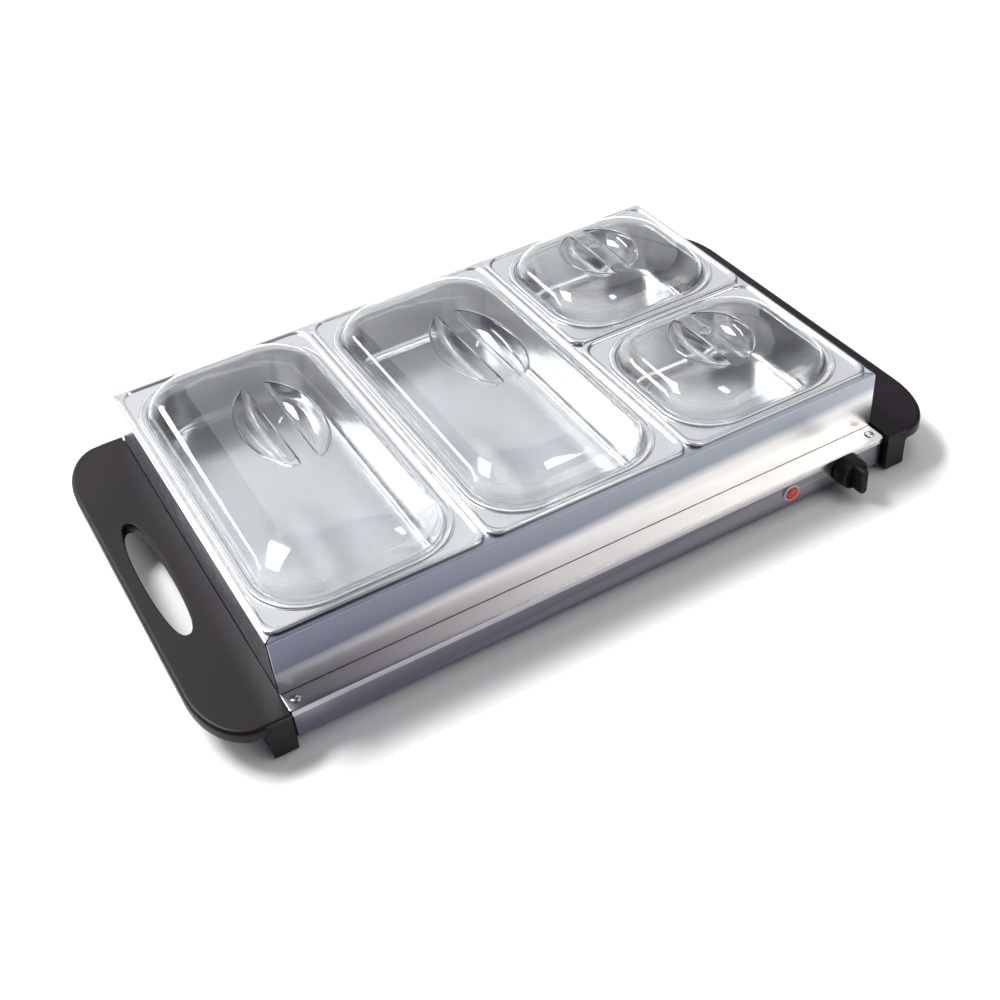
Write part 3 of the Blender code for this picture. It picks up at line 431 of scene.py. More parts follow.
def skin(bm, rings, closed=False, capped=True):
    """Join rings of points in order; the ends are capped, or joined when closed."""
    rows = [[bm.verts.new(point) for point in ring] for ring in rings]
    pairs = list(zip(rows, rows[1:]))
    if closed:
        pairs.append((rows[-1], rows[0]))
    elif capped:
        bm.faces.new(rows[0])
        bm.faces.new(rows[-1])
    for low, high in pairs:
        for i in range(len(low)):
            j = (i + 1) % len(low)
            bm.faces.new((low[i], low[j], high[j], high[i]))
    return rows


def arc(centre, radii, start, end, steps):
    """Points of an elliptical arc, angles in degrees."""
    angles = [radians(start + (end - start) * k / steps) for k in range(steps + 1)]
    return [(centre[0] + radii[0] * cos(a), centre[1] + radii[1] * sin(a)) for a in angles]


def bend(start, corner, end, steps):
    """Points of a quadratic curve from start to end, pulled to corner."""
    points = []
    for k in range(steps + 1):
        t = k / steps
        trio = zip(start, corner, end)
        points.append(tuple((1 - t) ** 2 * a + 2 * t * (1 - t) * b + t * t * c for a, b, c in trio))
    return points


def quarter(first, last, steps):
    """Angles of a right angle's steps, from first to last."""
    return [pi / 2 * k / steps for k in range(first, last + 1)]


def corner_rect(half_x, half_y, radius, steps=CORNER_STEPS, centre=(0.0, 0.0)):
    """Outline of a rectangle with round corners, anticlockwise."""
    points = []
    for turn, (sx, sy) in enumerate(((1, 1), (-1, 1), (-1, -1), (1, -1))):
        cx = centre[0] + sx * (half_x - radius)
        cy = centre[1] + sy * (half_y - radius)
        for i in range(steps + 1):
            a = (turn + i / steps) * pi / 2
            points.append((cx + radius * cos(a), cy + radius * sin(a)))
    return points


def lifted(outline, z):
    return [(x, y, z) for x, y in outline]


def turned(profile, centre, axis, count):
    """Turn (radius, height) pairs round an axis through centre; heights grow along the axis."""
    along = Vector({"-Y": (0, -1, 0), "Y": (0, 1, 0), "Z": (0, 0, 1)}[axis])
    across = Vector((1, 0, 0))
    third = along.cross(across)
    rings = []
    for radius, height in profile:
        ring = []
        for i in range(count):
            a = 2 * pi * i / count
            ring.append(Vector(centre) + along * height + (across * cos(a) + third * sin(a)) * radius)
        rings.append(ring)
    return rings


def middle(box):
    return (box[0] + box[1]) / 2


# ---------------------------------------------------------------- warming base
def warming_plate():
    """Top sheet with a turned-down lip, rounded fold, and two pressed pips on the ledge."""
    low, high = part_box("warming_plate")
    rack_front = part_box("rack_front_panel")[0].y
    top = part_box("rack_front_panel")[0].z - RACK_GAP
    centre = ((low.x + high.x) / 2, (low.y + high.y) / 2)
    half = ((high.x - low.x) / 2, (high.y - low.y) / 2)
    lip = top - LIP_HEIGHT
    section = [(SHEET, top - SHEET), (SHEET, lip + SHEET / 2), (SHEET * 0.5, lip), (0.0, lip + SHEET / 2)]
    section += [(FOLD - x, z) for x, z in arc((0.0, top - FOLD), (FOLD, FOLD), 0, 90, 6)]
    section += [(FOLD + 0.6 * MM, top)]
    bm = bmesh.new()
    rings = []
    for inset, z in section:
        outline = corner_rect(half[0] - inset, half[1] - inset, CORNER_PLATE - inset / 2, 6, centre)
        rings.append(lifted(outline, z))
    skin(bm, rings)
    plate = finish_piece("plate_sheet", bm, "base", "plate_steel_painted_reflection", ["warming_plate"])
    for side in (-1, 1):
        spot = (side * (half[0] - PIP_INSET[0]), rack_front - PIP_INSET[1], top - SHEET / 2)
        dome = [(PIP_RADIUS * cos(a), SHEET / 2 + PIP_HEIGHT * sin(a)) for a in quarter(0, 6, 7)]
        pip = bmesh.new()
        skin(pip, turned([(PIP_RADIUS, 0.0)] + dome + [(0.3 * MM, SHEET / 2 + PIP_HEIGHT)], spot, "Z", 28))
        combine(plate, pip, "UNION")


def base_housing():
    """Folded wall and bottom flange, with its openings for the shaft, the lamp and the gland."""
    low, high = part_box("base_housing")
    centre = ((low.x + high.x) / 2, (low.y + high.y) / 2)
    half = ((high.x - low.x) / 2, (high.y - low.y) / 2)
    outer = [(FOLD - x, z) for x, z in arc((0.0, low.z + FOLD), (FOLD, FOLD), 0, -90, 6)]
    section = [(0.0, high.z), (0.0, high.z - GUARD), (0.0, low.z + FOLD + GUARD)] + outer
    section += [(HOUSING_FLANGE, low.z), (HOUSING_FLANGE, low.z + SHEET), (SHEET * 1.4, low.z + SHEET)]
    section += [(SHEET, low.z + SHEET * 1.6), (SHEET, high.z)]
    rings = []
    for inset, z in section:
        corner = max(2.2 * MM - inset / 2, 0.4 * MM)
        outline = corner_rect(half[0] - inset, half[1] - inset, corner, 6, centre)
        rings.append(lifted(outline, z))
    bm = bmesh.new()
    skin(bm, rings, closed=True)
    housing = finish_piece("base_walls", bm, "base", "housing_steel_painted_reflection", ["base_housing"])
    holes = bmesh.new()
    for node, radius, wall in (
        ("thermostat_shaft", SHAFT_HOLE, low.y), ("indicator_lens", LAMP_HOLE, low.y),
        ("cord_gland", GLAND_HOLE, high.y),
    ):
        spot = middle(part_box(node))
        spot.y = wall
        skin(holes, turned([(radius, -4 * MM), (radius, 4 * MM)], spot, "Y", 32))
    combine(housing, holes, "DIFFERENCE")


# ---------------------------------------------------------------- handles
def handle_outline(box, side, grow=0.0, inner_grow=0.0):
    """Plan of a handle: straight inner edge, elliptical outer corners."""
    low, high = box
    inner, outer = (low.x, high.x) if side > 0 else (-high.x, -low.x)
    rx, ry = HANDLE_CORNER[0] + grow, HANDLE_CORNER[1] + grow
    front, back = low.y - grow, high.y + grow
    outer += grow
    points = [(inner - inner_grow, front)]
    points += arc((outer - rx, front + ry), (rx, ry), -90, 0, 14)
    points += arc((outer - rx, back - ry), (rx, ry), 0, 90, 14)
    points += [(inner - inner_grow, back)]
    return [(side * x, y) for x, y in points]


def hole_outline(centre, grow=0.0):
    """Slim oval with round ends."""
    points = []
    for k in range(HOLE_POINTS):
        a = 2 * pi * (k + 0.5) / HOLE_POINTS
        c, s = cos(a), sin(a)
        across = (HAND_HOLE_HALF[0] + grow) * c / abs(c) ** 0.2
        points.append((centre[0] + across, centre[1] + (HAND_HOLE_HALF[1] + grow) * s))
    return points


def fill_between(bm, outer, inner):
    """Flat face set between an outer ring of vertices and the ring of an opening in it."""
    flat = [Vector((v.co.x, v.co.y)) for v in outer + inner]
    count, total = len(outer), len(flat)
    edges = [(i, (i + 1) % count) for i in range(count)]
    edges += [(i, i + 1 if i + 1 < total else count) for i in range(count, total)]
    points, _, faces, sources, _, _ = delaunay_2d_cdt(flat, edges, [], 0, 1e-7)
    verts = [(outer + inner)[source[0]] for source in sources]
    opening = [flat[i] for i in range(count, total)]
    for face in faces:
        spot = sum((points[i] for i in face), Vector((0.0, 0.0))) / len(face)
        if not inside(spot, opening):
            bm.faces.new([verts[i] for i in face])


def inside(spot, outline):
    """True if a point lies in a closed outline."""
    odd = False
    for a, b in zip(outline, outline[1:] + outline[:1]):
        if (a.y > spot.y) != (b.y > spot.y):
            odd ^= spot.x < a.x + (spot.y - a.y) * (b.x - a.x) / (b.y - a.y)
    return odd


def handle(name, side):
    """Moulded end handle: rounded deck with a hand hole, skirt, inner wall, and a leg at each end."""
    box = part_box(name)
    low, high = box
    inner = min(abs(low.x), abs(high.x))
    top, under = high.z, high.z - HANDLE_SKIRT
    centre = (side * (inner + HAND_HOLE_OFFSET), (low.y + high.y) / 2 - 0.65 * MM)
    bm = bmesh.new()
    outer = [lifted(handle_outline(box, side), under), lifted(handle_outline(box, side), top - HANDLE_EDGE)]
    for drop, rise in arc((0.0, 0.0), (HANDLE_EDGE, HANDLE_EDGE), 0, 90, 8)[1:]:
        grow = drop - HANDLE_EDGE
        outline = handle_outline(box, side, grow, max(grow, -0.5 * MM))
        outer.append(lifted(outline, top - HANDLE_EDGE + rise))
    outer.append(lifted(handle_outline(box, side, -HANDLE_EDGE - GUARD, -0.5 * MM - GUARD), top))
    rows = skin(bm, outer, capped=False)
    collar = [lifted(hole_outline(centre, grow), top) for grow in (HOLE_EDGE + GUARD, HOLE_EDGE)]
    for run, rise in arc((HOLE_EDGE, 0.0), (HOLE_EDGE, HOLE_EDGE), 90, 180, 6)[1:]:
        collar.append(lifted(hole_outline(centre, run), top - HOLE_EDGE + rise))
    collar.append(lifted(hole_outline(centre), under))
    collar.append(lifted(hole_outline(centre, HANDLE_WALL), under))
    collar.append(lifted(hole_outline(centre, HANDLE_WALL), top - HANDLE_WALL))
    hole_rows = skin(bm, collar, capped=False)
    inner_rings = [
        lifted(handle_outline(box, side, -HANDLE_WALL, -HANDLE_WALL), z) for z in (under, top - HANDLE_WALL)
    ]
    inner_rows = skin(bm, inner_rings, capped=False)
    fill_between(bm, rows[-1], hole_rows[0])
    fill_between(bm, inner_rows[-1], hole_rows[-1])
    for i in range(len(rows[0])):
        j = (i + 1) % len(rows[0])
        bm.faces.new((rows[0][i], rows[0][j], inner_rows[0][j], inner_rows[0][i]))
    shell = finish_piece(f"{name}_moulding", bm, "base", "black_plastic", [name])
    add_handle_legs(shell, box, side, inner, under, top)


def add_handle_legs(shell, box, side, inner, under, top):
    """Inner wall against the base, and a filleted leg at the front and at the back."""
    low, high = box
    inside_deck = top - HANDLE_WALL / 2
    wall_bottom = low.z + 4 * MM
    start, end = low.y + 1 * MM, high.y - 1 * MM
    outline = [(inner, start), (inner + HANDLE_WALL, start), (inner + HANDLE_WALL, end), (inner, end)]
    wall = bmesh.new()
    skin(wall, [lifted([(side * x, y) for x, y in outline], z) for z in (wall_bottom, inside_deck)])
    combine(shell, wall, "UNION")
    foot = inner + LEG_SIZE[0]
    section = [(inner, inside_deck), (inner, low.z + 0.6 * MM), (inner + 0.6 * MM, low.z)]
    section += arc((foot - 1 * MM, low.z + 1 * MM), (1 * MM, 1 * MM), -90, 0, 4)
    section += arc((foot + LEG_FILLET, under - LEG_FILLET), (LEG_FILLET, LEG_FILLET), 180, 90, 6)
    section += [(foot + LEG_FILLET, under + 1 * MM), (foot, inside_deck)]
    for y0, y1 in ((low.y, low.y + LEG_SIZE[1]), (high.y - LEG_SIZE[1], high.y)):
        leg = bmesh.new()
        skin(leg, [[(side * x, y, z) for x, z in section] for y in (y0, y1)])
        combine(shell, leg, "UNION")


# ---------------------------------------------------------------- control knob, lamp, gland
def control_knob():
    """Round body with a rolled rim and a sunk face, and a tall tapered grip across it."""
    low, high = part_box("control_knob")
    axis = middle((low, high))
    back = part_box("base_housing")[0].y - WALL_SETBACK
    spot = (axis.x, back, axis.z)
    radius = (high.x - low.x) / 2
    reach = back - low.y
    body = 13.0 * MM
    profile = [(9.5 * MM, 6.0 * MM), (9.5 * MM, 0.3 * MM), (radius - 0.8 * MM, 0.3 * MM)]
    rolled = arc((0, 0), (0.8 * MM, 0.8 * MM), -60, 0, 3)
    profile += [(radius - 0.8 * MM + x, 1.1 * MM + z) for x, z in rolled]
    profile += [(radius - 0.9 * MM, body - 1.8 * MM)]
    rim = radius - 2.2 * MM
    profile += arc((rim - 0.2 * MM, body - 1.5 * MM), (1.5 * MM, 1.5 * MM), 10, 90, 6)
    profile += arc((rim - 0.6 * MM, body - 0.8 * MM), (0.8 * MM, 0.8 * MM), 90, 180, 4)
    profile += [(rim - 1.4 * MM, body - 1.4 * MM), (rim - 2.2 * MM, body - 1.6 * MM)]
    profile += [(3.0 * MM, body - 1.6 * MM)]
    bm = bmesh.new()
    skin(bm, turned(profile, spot, "-Y", 56))
    knob = finish_piece("knob_moulding", bm, "knob", "knob_plastic", ["control_knob"])
    grip = bmesh.new()
    rings = []
    half_x, half_z = 3.5 * MM, 12.0 * MM
    round_off = 1.6 * MM
    stations = [(body - 3 * MM, 0.9 * MM, 0.0), (body + 2 * MM, 0.3 * MM, 0.0)]
    stations += [(reach - round_off, 0.0, 0.0)]
    stations += [
        (reach - round_off + round_off * sin(a), round_off * (cos(a) - 1) * 0.8, round_off * (cos(a) - 1))
        for a in quarter(1, 5, 5)
    ]
    for depth, wide, long in stations:
        outline = corner_rect(half_x + wide, half_z + long, (half_x + wide) * 0.85, 6)
        rings.append([(spot[0] + x, back - depth, spot[2] + z) for x, z in outline])
    skin(grip, rings)
    combine(knob, grip, "UNION")
    groove = bmesh.new()
    outline = corner_rect(0.7 * MM, 4.2 * MM, 0.65 * MM, 4, (0.0, 5.0 * MM))
    depths = (reach - 0.5 * MM, reach + 1 * MM)
    skin(groove, [[(spot[0] + x, back - depth, spot[2] + z) for x, z in outline] for depth in depths])
    combine(knob, groove, "DIFFERENCE")


def indicator_lamp():
    """Bright ring pressed into the wall, and a domed red lens in it."""
    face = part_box("base_housing")[0].y
    low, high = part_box("indicator_bezel")
    spot = middle((low, high))
    spot.y = face
    radius = (high.x - low.x) / 2
    lens_radius = (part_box("indicator_lens")[1].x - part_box("indicator_lens")[0].x) / 2
    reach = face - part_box("indicator_lens")[0].y
    ring = [(lens_radius + 0.15 * MM, 0.3 * MM), (radius, 0.3 * MM), (radius, 1.4 * MM)]
    ring += arc(((radius + lens_radius) / 2 + 0.1 * MM, 1.6 * MM), (0.45 * MM, 0.7 * MM), 0, 180, 8)
    bm = bmesh.new()
    skin(bm, turned(ring, spot, "-Y", 56), closed=True)
    finish_piece("lamp_ring", bm, "base", "white_plastic", ["indicator_bezel"])
    dome = [(lens_radius, 0.3 * MM), (lens_radius, 1.6 * MM)]
    dome += [(lens_radius * cos(a), 1.6 * MM + (reach - 1.6 * MM) * sin(a)) for a in quarter(1, 8, 9)]
    bm = bmesh.new()
    skin(bm, turned(dome, spot, "-Y", 48))
    finish_piece("lamp_lens", bm, "base", "red_lens", ["indicator_lens"], 50.0)


def cord_gland():
    """Rubber grommet with a rounded flange, a ribbed neck and an open bore."""
    low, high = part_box("cord_gland")
    spot = middle((low, high))
    spot.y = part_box("base_housing")[1].y
    reach, depth = high.y - spot.y, spot.y - low.y
    bore = 4.0 * MM
    section = [(bore, -depth), (6.9 * MM, -depth), (6.9 * MM, 0.3 * MM)]
    section += arc((7.4 * MM, 1.3 * MM), (0.7 * MM, 1.0 * MM), -80, 90, 6)
    section += [(6.3 * MM, 2.4 * MM), (5.9 * MM, 2.7 * MM), (6.0 * MM, 3.2 * MM), (5.5 * MM, reach)]
    section += [(bore + 0.4 * MM, reach), (bore, reach - 0.4 * MM)]
    bm = bmesh.new()
    skin(bm, turned(section, spot, "Y", 48), closed=True)
    finish_piece("gland_grommet", bm, "base", "rubber", ["cord_gland"])


# ---------------------------------------------------------------- pan rack
def rack_section():
    """Folded sheet as (depth behind the face, height share) pairs: hem, wall and top flange."""
    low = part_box("rack_front_panel")[0].z
    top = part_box("rack_front_panel")[1].z
    inner = FOLD - SHEET * 0.6
    hem = arc((0, low + HEM_FOLD), (HEM_FOLD, HEM_FOLD), -90, 0, 5)
    section = [(RACK_HEM, low), *[(HEM_FOLD - x, z) for x, z in hem]]
    section += [(0.0, low + HEM_FOLD + GUARD), (0.0, top - FOLD - GUARD)]
    section += [(FOLD - x, z) for x, z in arc((0, top - FOLD), (FOLD, FOLD), 0, 90, 6)]
    section += [(FOLD + GUARD, top)]
    section += [(RACK_FLANGE - 0.3 * MM, top), (RACK_FLANGE, top - 0.3 * MM), (RACK_FLANGE, top - SHEET)]
    section += [(SHEET + inner, top - SHEET), (SHEET, top - SHEET - inner)]
    section += [(SHEET, low + SHEET + inner), (SHEET + inner, low + SHEET), (RACK_HEM, low + SHEET)]
    return section


def rack_panel(node, name, material, sign, runs, along_x):
    """One folded side of the rack, with mitred flange ends."""
    box = (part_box("rack_left_panel")[0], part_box("rack_right_panel")[1])
    y0, y1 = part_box("rack_front_panel")[0].y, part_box("rack_back_panel")[1].y
    mid_y = (y0 + y1) / 2
    half_run = box[1].x if along_x else (y1 - y0) / 2
    across = (y1 - y0) / 2 if along_x else box[1].x
    rings = []
    start, finish = runs
    for end, wall_run, short in ((-1, start, 0.0), (-1, start, GUARD), (1, finish, GUARD), (1, finish, 0.0)):
        ring = []
        for depth, z in rack_section():
            run = end * (min(wall_run, half_run - depth - MITRE_GAP) - short)
            away = sign * (across - depth)
            ring.append((run, mid_y + away, z) if along_x else (away, mid_y + run, z))
        rings.append(ring)
    bm = bmesh.new()
    skin(bm, rings)
    finish_piece(name, bm, "rack", material, [node])


def rack_panels():
    y0, y1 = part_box("rack_front_panel")[0].y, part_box("rack_back_panel")[1].y
    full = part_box("rack_front_panel")[1].x
    side = [(y1 - y0) / 2 - SHEET - seam for seam in (FRONT_SEAM, BACK_SEAM)]
    rack_panel("rack_front_panel", "rack_front_skirt", "skirt_steel_painted_reflection", -1, (full, full), True)
    rack_panel("rack_back_panel", "rack_back_skirt", "brushed_steel", 1, (full, full), True)
    rack_panel("rack_left_panel", "rack_left_skirt", "brushed_steel_y", -1, side, False)
    rack_panel("rack_right_panel", "rack_right_skirt", "brushed_steel_y", 1, side, False)


def soften_dividers():
    """The channels between the pans keep their CAD shape, with their folds rounded."""
    for name in ("rack_divider_left", "rack_divider_right", "rack_cross_divider"):
        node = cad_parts[name]
        rounding = node.modifiers.new("folds", "BEVEL")
        rounding.width = 0.35 * MM
        rounding.segments = 2
        rounding.limit_method = "ANGLE"
        rounding.angle_limit = radians(50)
        if name != "rack_cross_divider":
            node.material_slots[0].material = MATERIALS["brushed_steel_y"]


# ---------------------------------------------------------------- pans
def pan_section(depth):
    """Pan section from the bottom to the rim and back: (inset from the rim, height over the rim's top)."""
    t = 0.7 * MM
    seat, floor = -1.7 * MM, -depth + t
    points = [(34 * MM, floor), *bend((29 * MM, floor), (19.3 * MM, floor), (18.2 * MM, -39.5 * MM), 8)]
    points += bend((13.4 * MM, -5.2 * MM), (12.95 * MM, seat), (10.4 * MM, seat), 5)
    points += [(7.1 * MM, seat), *arc((6.3 * MM, seat), (0.55 * MM, 0.42 * MM), 0, 180, 6), (5.3 * MM, seat)]
    points += bend((5.0 * MM, seat), (4.4 * MM, seat), (3.9 * MM, -1.0 * MM), 3)
    points += [(2.0 * MM + x, -1.0 * MM + z) for x, z in arc((0, 0), (1.7 * MM, 1.0 * MM), 20, 90, 5)]
    points += [(2.0 * MM - x, -1.0 * MM + z) for x, z in arc((0, 0), (2.0 * MM, 1.0 * MM), 90, 0, 7)[1:]]
    points += [(0.0, -2.5 * MM), (0.2 * MM, -2.7 * MM), (t - 0.1 * MM, -2.7 * MM), (t, -2.5 * MM)]
    points += [(t, -1.6 * MM), (2.0 * MM, -0.8 * MM), (3.4 * MM, -1.4 * MM)]
    points += [(5.0 * MM, seat - t), (10.6 * MM, seat - t)]
    points += [(12.6 * MM, seat - 2.6 * MM), (17.6 * MM, -39.5 * MM)]
    points += bend((17.7 * MM, -40.2 * MM), (18.9 * MM, -depth), (28.6 * MM, -depth), 5)[1:]
    return points + [(34 * MM, -depth)]


def pan(label):
    """Pressed pan with a rolled rim, a lid seat with a small locating bead, and a rounded bottom."""
    node = f"pan_{label}"
    low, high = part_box(node)
    centre = ((low.x + high.x) / 2, (low.y + high.y) / 2)
    half_x, half_y = (high.x - low.x) / 2, (high.y - low.y) / 2
    insets = [0.0, 1.6 * MM, 3.6 * MM, 5.0 * MM, 5.4 * MM, 12.0 * MM, 18.5 * MM, 28.0 * MM, 34.0 * MM]
    radii = [RIM_CORNER, 12 * MM, 13 * MM, 14 * MM, 48 * MM, 42 * MM, 39 * MM, 34 * MM, 30 * MM]
    rings = []
    for inset, z in pan_section(high.z - low.z):
        radius = float(np.interp(inset, insets, radii))
        outline = corner_rect(half_x - inset, half_y - inset, radius, CORNER_STEPS, centre)
        rings.append(lifted(outline, high.z + z))
    bm = bmesh.new()
    skin(bm, rings)
    finish_piece(f"{node}_pressing", bm, node, "pan_steel", [node])


# ---------------------------------------------------------------- lids
def smooth_curve(stations, x):
    """Smooth monotone curve through (x, y) stations, evaluated at x."""
    xs, ys = np.array(stations).T
    step = np.diff(xs)
    slope = np.diff(ys) / step
    tangent = np.zeros(len(xs))
    both = slope[:-1] * slope[1:] > 0
    tangent[1:-1][both] = 2 * slope[:-1][both] * slope[1:][both] / (slope[:-1] + slope[1:])[both]
    tangent[0], tangent[-1] = slope[0], slope[-1]
    x = np.clip(x, xs[0], xs[-1])
    i = np.clip(np.searchsorted(xs, x) - 1, 0, len(step) - 1)
    t = (x - xs[i]) / step[i]
    rest = 1 - t
    start = ys[i] * (1 + 2 * t) * rest**2 + tangent[i] * step[i] * t * rest**2
    end = ys[i + 1] * (3 - 2 * t) * t**2 - tangent[i + 1] * step[i] * rest * t**2
    return start + end


# Dome section: inset from the lid's edge, height above the underside of its flange.
DOME = [
    (0.0, 0.9), (0.25, 1.35), (0.8, 1.6), (3.6, 1.6), (4.2, 1.42), (4.8, 1.42), (5.2, 1.9), (5.7, 3.2),
    (6.5, 5.2), (9.0, 10.0), (15.0, 15.5), (26.0, 20.0), (44.0, 23.8), (62.0, 25.3), (69.0, 25.5),
    (80.0, 25.5),
]
# Rings of mesh points, in MM: insets on the dome, distances inside a well, and steps from a mark's radius.
DOME_RINGS = (0.0, 0.25, 0.8, 2.2, 3.6, 4.2, 4.8, 5.2, 5.7, 6.5, 7.6, 9.0, 11.0, 13.0, 15.0)
WELL_RINGS = (-2.2, -1.6, -1.2, -0.8, -0.4, 0.0, 0.4, 0.8, 1.2, 1.6, 2.1, 2.7, 3.5, 4.5, 6.0, 7.5, 9.0)
MARK_STEPS = np.array([-1.1, -0.6, -0.3, 0.0, 0.3, 0.6, 1.1])


class Lid:
    """Shape of one lid as a height over its plan, with its centre at the origin."""

    def __init__(self, half_x, half_y, wells, mark):
        self.half_x, self.half_y = half_x, half_y
        self.centre, self.half_well, self.well_depth = wells
        spot, self.ring, self.button = mark
        self.mark = (self.centre[0] + spot[0] * MM, self.centre[1] + spot[1] * MM)

    def ring_corner(self, inset):
        return np.minimum(LID_CORNER - 0.35 * inset, 0.9 * (min(self.half_x, self.half_y) - inset))

    def inset(self, x, y):
        """Inset of the dome ring that passes through each point."""
        low = np.zeros_like(x)
        high = np.full_like(x, min(self.half_x, self.half_y) - 0.01 * MM)
        for _ in range(36):
            guess = (low + high) / 2
            radius = self.ring_corner(guess)
            qx = np.abs(x) - (self.half_x - guess - radius)
            qy = np.abs(y) - (self.half_y - guess - radius)
            away = np.hypot(np.maximum(qx, 0), np.maximum(qy, 0))
            away += np.minimum(np.maximum(qx, qy), 0) - radius
            low, high = np.where(away < 0, guess, low), np.where(away < 0, high, guess)
        return (low + high) / 2

    def oval(self, x, y):
        """Distance inside the oval that both finger wells share; negative outside."""
        a, b = WELL_HALF_WIDTH, self.half_well
        u, v = x - self.centre[0], y - self.centre[1]
        share = np.maximum(np.hypot(u / a, v / b), 1e-6)
        return (1 - share) * share / np.maximum(np.hypot(u / a**2, v / b**2), 1e-9)

    def in_well(self, x, y):
        """Distance inside the nearer finger well's outline; negative outside."""
        oval = self.oval(x, y)
        bar = np.abs(x - self.centre[0]) - BAR_HALF_WIDTH
        soft = 3.0 * MM
        mix = np.clip(0.5 + 0.5 * (bar - oval) / soft, 0, 1)
        return bar + (oval - bar) * mix - soft * mix * (1 - mix)

    def well(self, x, y):
        """Depth of the finger wells below the dome: a steep side at the bar, and a bowl beyond it."""
        u, v = x - self.centre[0], y - self.centre[1]

        def slope(distance, steep):
            return np.maximum(steep * 0.5 * MM * np.log1p(np.exp(distance / (0.5 * MM))), 1e-9)

        side = slope(np.abs(u) - BAR_HALF_WIDTH, 6.5)
        rim = slope(self.oval(x, y), 2.2)
        share = 1 - (u / (WELL_HALF_WIDTH + 2 * MM)) ** 2 - (v / (self.half_well + 2 * MM)) ** 2
        bowl = np.maximum(self.well_depth * np.sqrt(np.maximum(share, 0)), 1e-9)
        return (side**-3 + rim**-3 + bowl**-3) ** (-1 / 3)

    def height(self, x, y):
        z = smooth_curve(DOME, self.inset(x, y) / MM) * MM - self.well(x, y)
        z += 0.4 * MM * np.exp(-(((self.in_well(x, y) / MM + 1.0) / 0.6) ** 2))
        away = np.hypot(x - self.mark[0], y - self.mark[1]) / MM
        z += 0.45 * MM / (1 + np.exp((away - self.button) / 0.3))
        if self.ring:
            z += 0.6 * MM * np.exp(-(((away - self.ring) / 0.85) ** 2))
        return z

    def normals(self, x, y):
        e = 0.02 * MM
        dx = (self.height(x + e, y) - self.height(x - e, y)) / (2 * e)
        dy = (self.height(x, y + e) - self.height(x, y - e)) / (2 * e)
        flat = np.stack([-dx, -dy, np.ones_like(dx)], axis=1)
        return flat / np.linalg.norm(flat, axis=1, keepdims=True)

    def well_ring(self, side, level, count=76):
        """Points where the distance inside a well equals level."""
        middle_x = self.centre[0] + side * (BAR_HALF_WIDTH + WELL_HALF_WIDTH) / 2
        middle_y = self.centre[1]
        angles = np.linspace(0, 2 * pi, count, endpoint=False)
        step_x = 0.5 * (WELL_HALF_WIDTH - BAR_HALF_WIDTH) * np.cos(angles)
        step_y = self.half_well * np.sin(angles)
        low, high = np.zeros(count), np.full(count, 1.6)
        for _ in range(34):
            guess = (low + high) / 2
            deeper = self.in_well(middle_x + step_x * guess, middle_y + step_y * guess) > level
            low, high = np.where(deeper, guess, low), np.where(deeper, high, guess)
        return np.stack([middle_x + step_x * low, middle_y + step_y * low], axis=1)

    def plan(self):
        """Plan points and fixed edges of the lid's mesh."""
        points, edges = [], []

        def ring(places, fixed=True):
            start = len(points)
            points.extend(Vector(p) for p in places)
            if fixed:
                count = len(places)
                edges.extend((start + i, start + (i + 1) % count) for i in range(count))

        for inset in DOME_RINGS:
            ring(self.dome_ring(inset * MM))
        for side in (-1, 1):
            for level in WELL_RINGS:
                ring(self.well_ring(side, level * MM))
        inset = 18.0 * MM
        limit = min(self.half_x, self.half_y)
        while inset < limit - 2 * MM:
            places = np.array(self.dome_ring(inset))
            clear = self.in_well(places[:, 0], places[:, 1]) < -3.2 * MM
            ring(places[clear].tolist(), fixed=False)
            inset += 4.0 * MM
        mark = np.array(self.mark)
        for v in np.arange(-self.half_well + 8 * MM, self.half_well - 7 * MM, 5 * MM):
            places = np.array([self.centre]) + [[u, v] for u in (-3.6 * MM, 0.0, 3.6 * MM)]
            clear = np.hypot(*(places - mark).T) > (max(self.ring, self.button) + 1.6) * MM
            ring(places[clear].tolist(), fixed=False)
        steps = [step for size in (self.button, self.ring) if size for step in size + MARK_STEPS]
        turn = np.linspace(0, 2 * pi, 36, endpoint=False)
        for radius in steps:
            ring((mark + radius * MM * np.stack([np.cos(turn), np.sin(turn)], 1)).tolist(), fixed=False)
        return points, edges

    def dome_ring(self, inset):
        """Points of a dome ring, with its straight sides divided."""
        radius = float(self.ring_corner(inset))
        outline = corner_rect(self.half_x - inset, self.half_y - inset, radius, 14)
        places = []
        for a, b in zip(outline, outline[1:] + outline[:1]):
            length = np.hypot(b[0] - a[0], b[1] - a[1])
            parts = max(1, round(length / (7 * MM)))
            for k in range(parts):
                places.append((a[0] + (b[0] - a[0]) * k / parts, a[1] + (b[1] - a[1]) * k / parts))
        return places


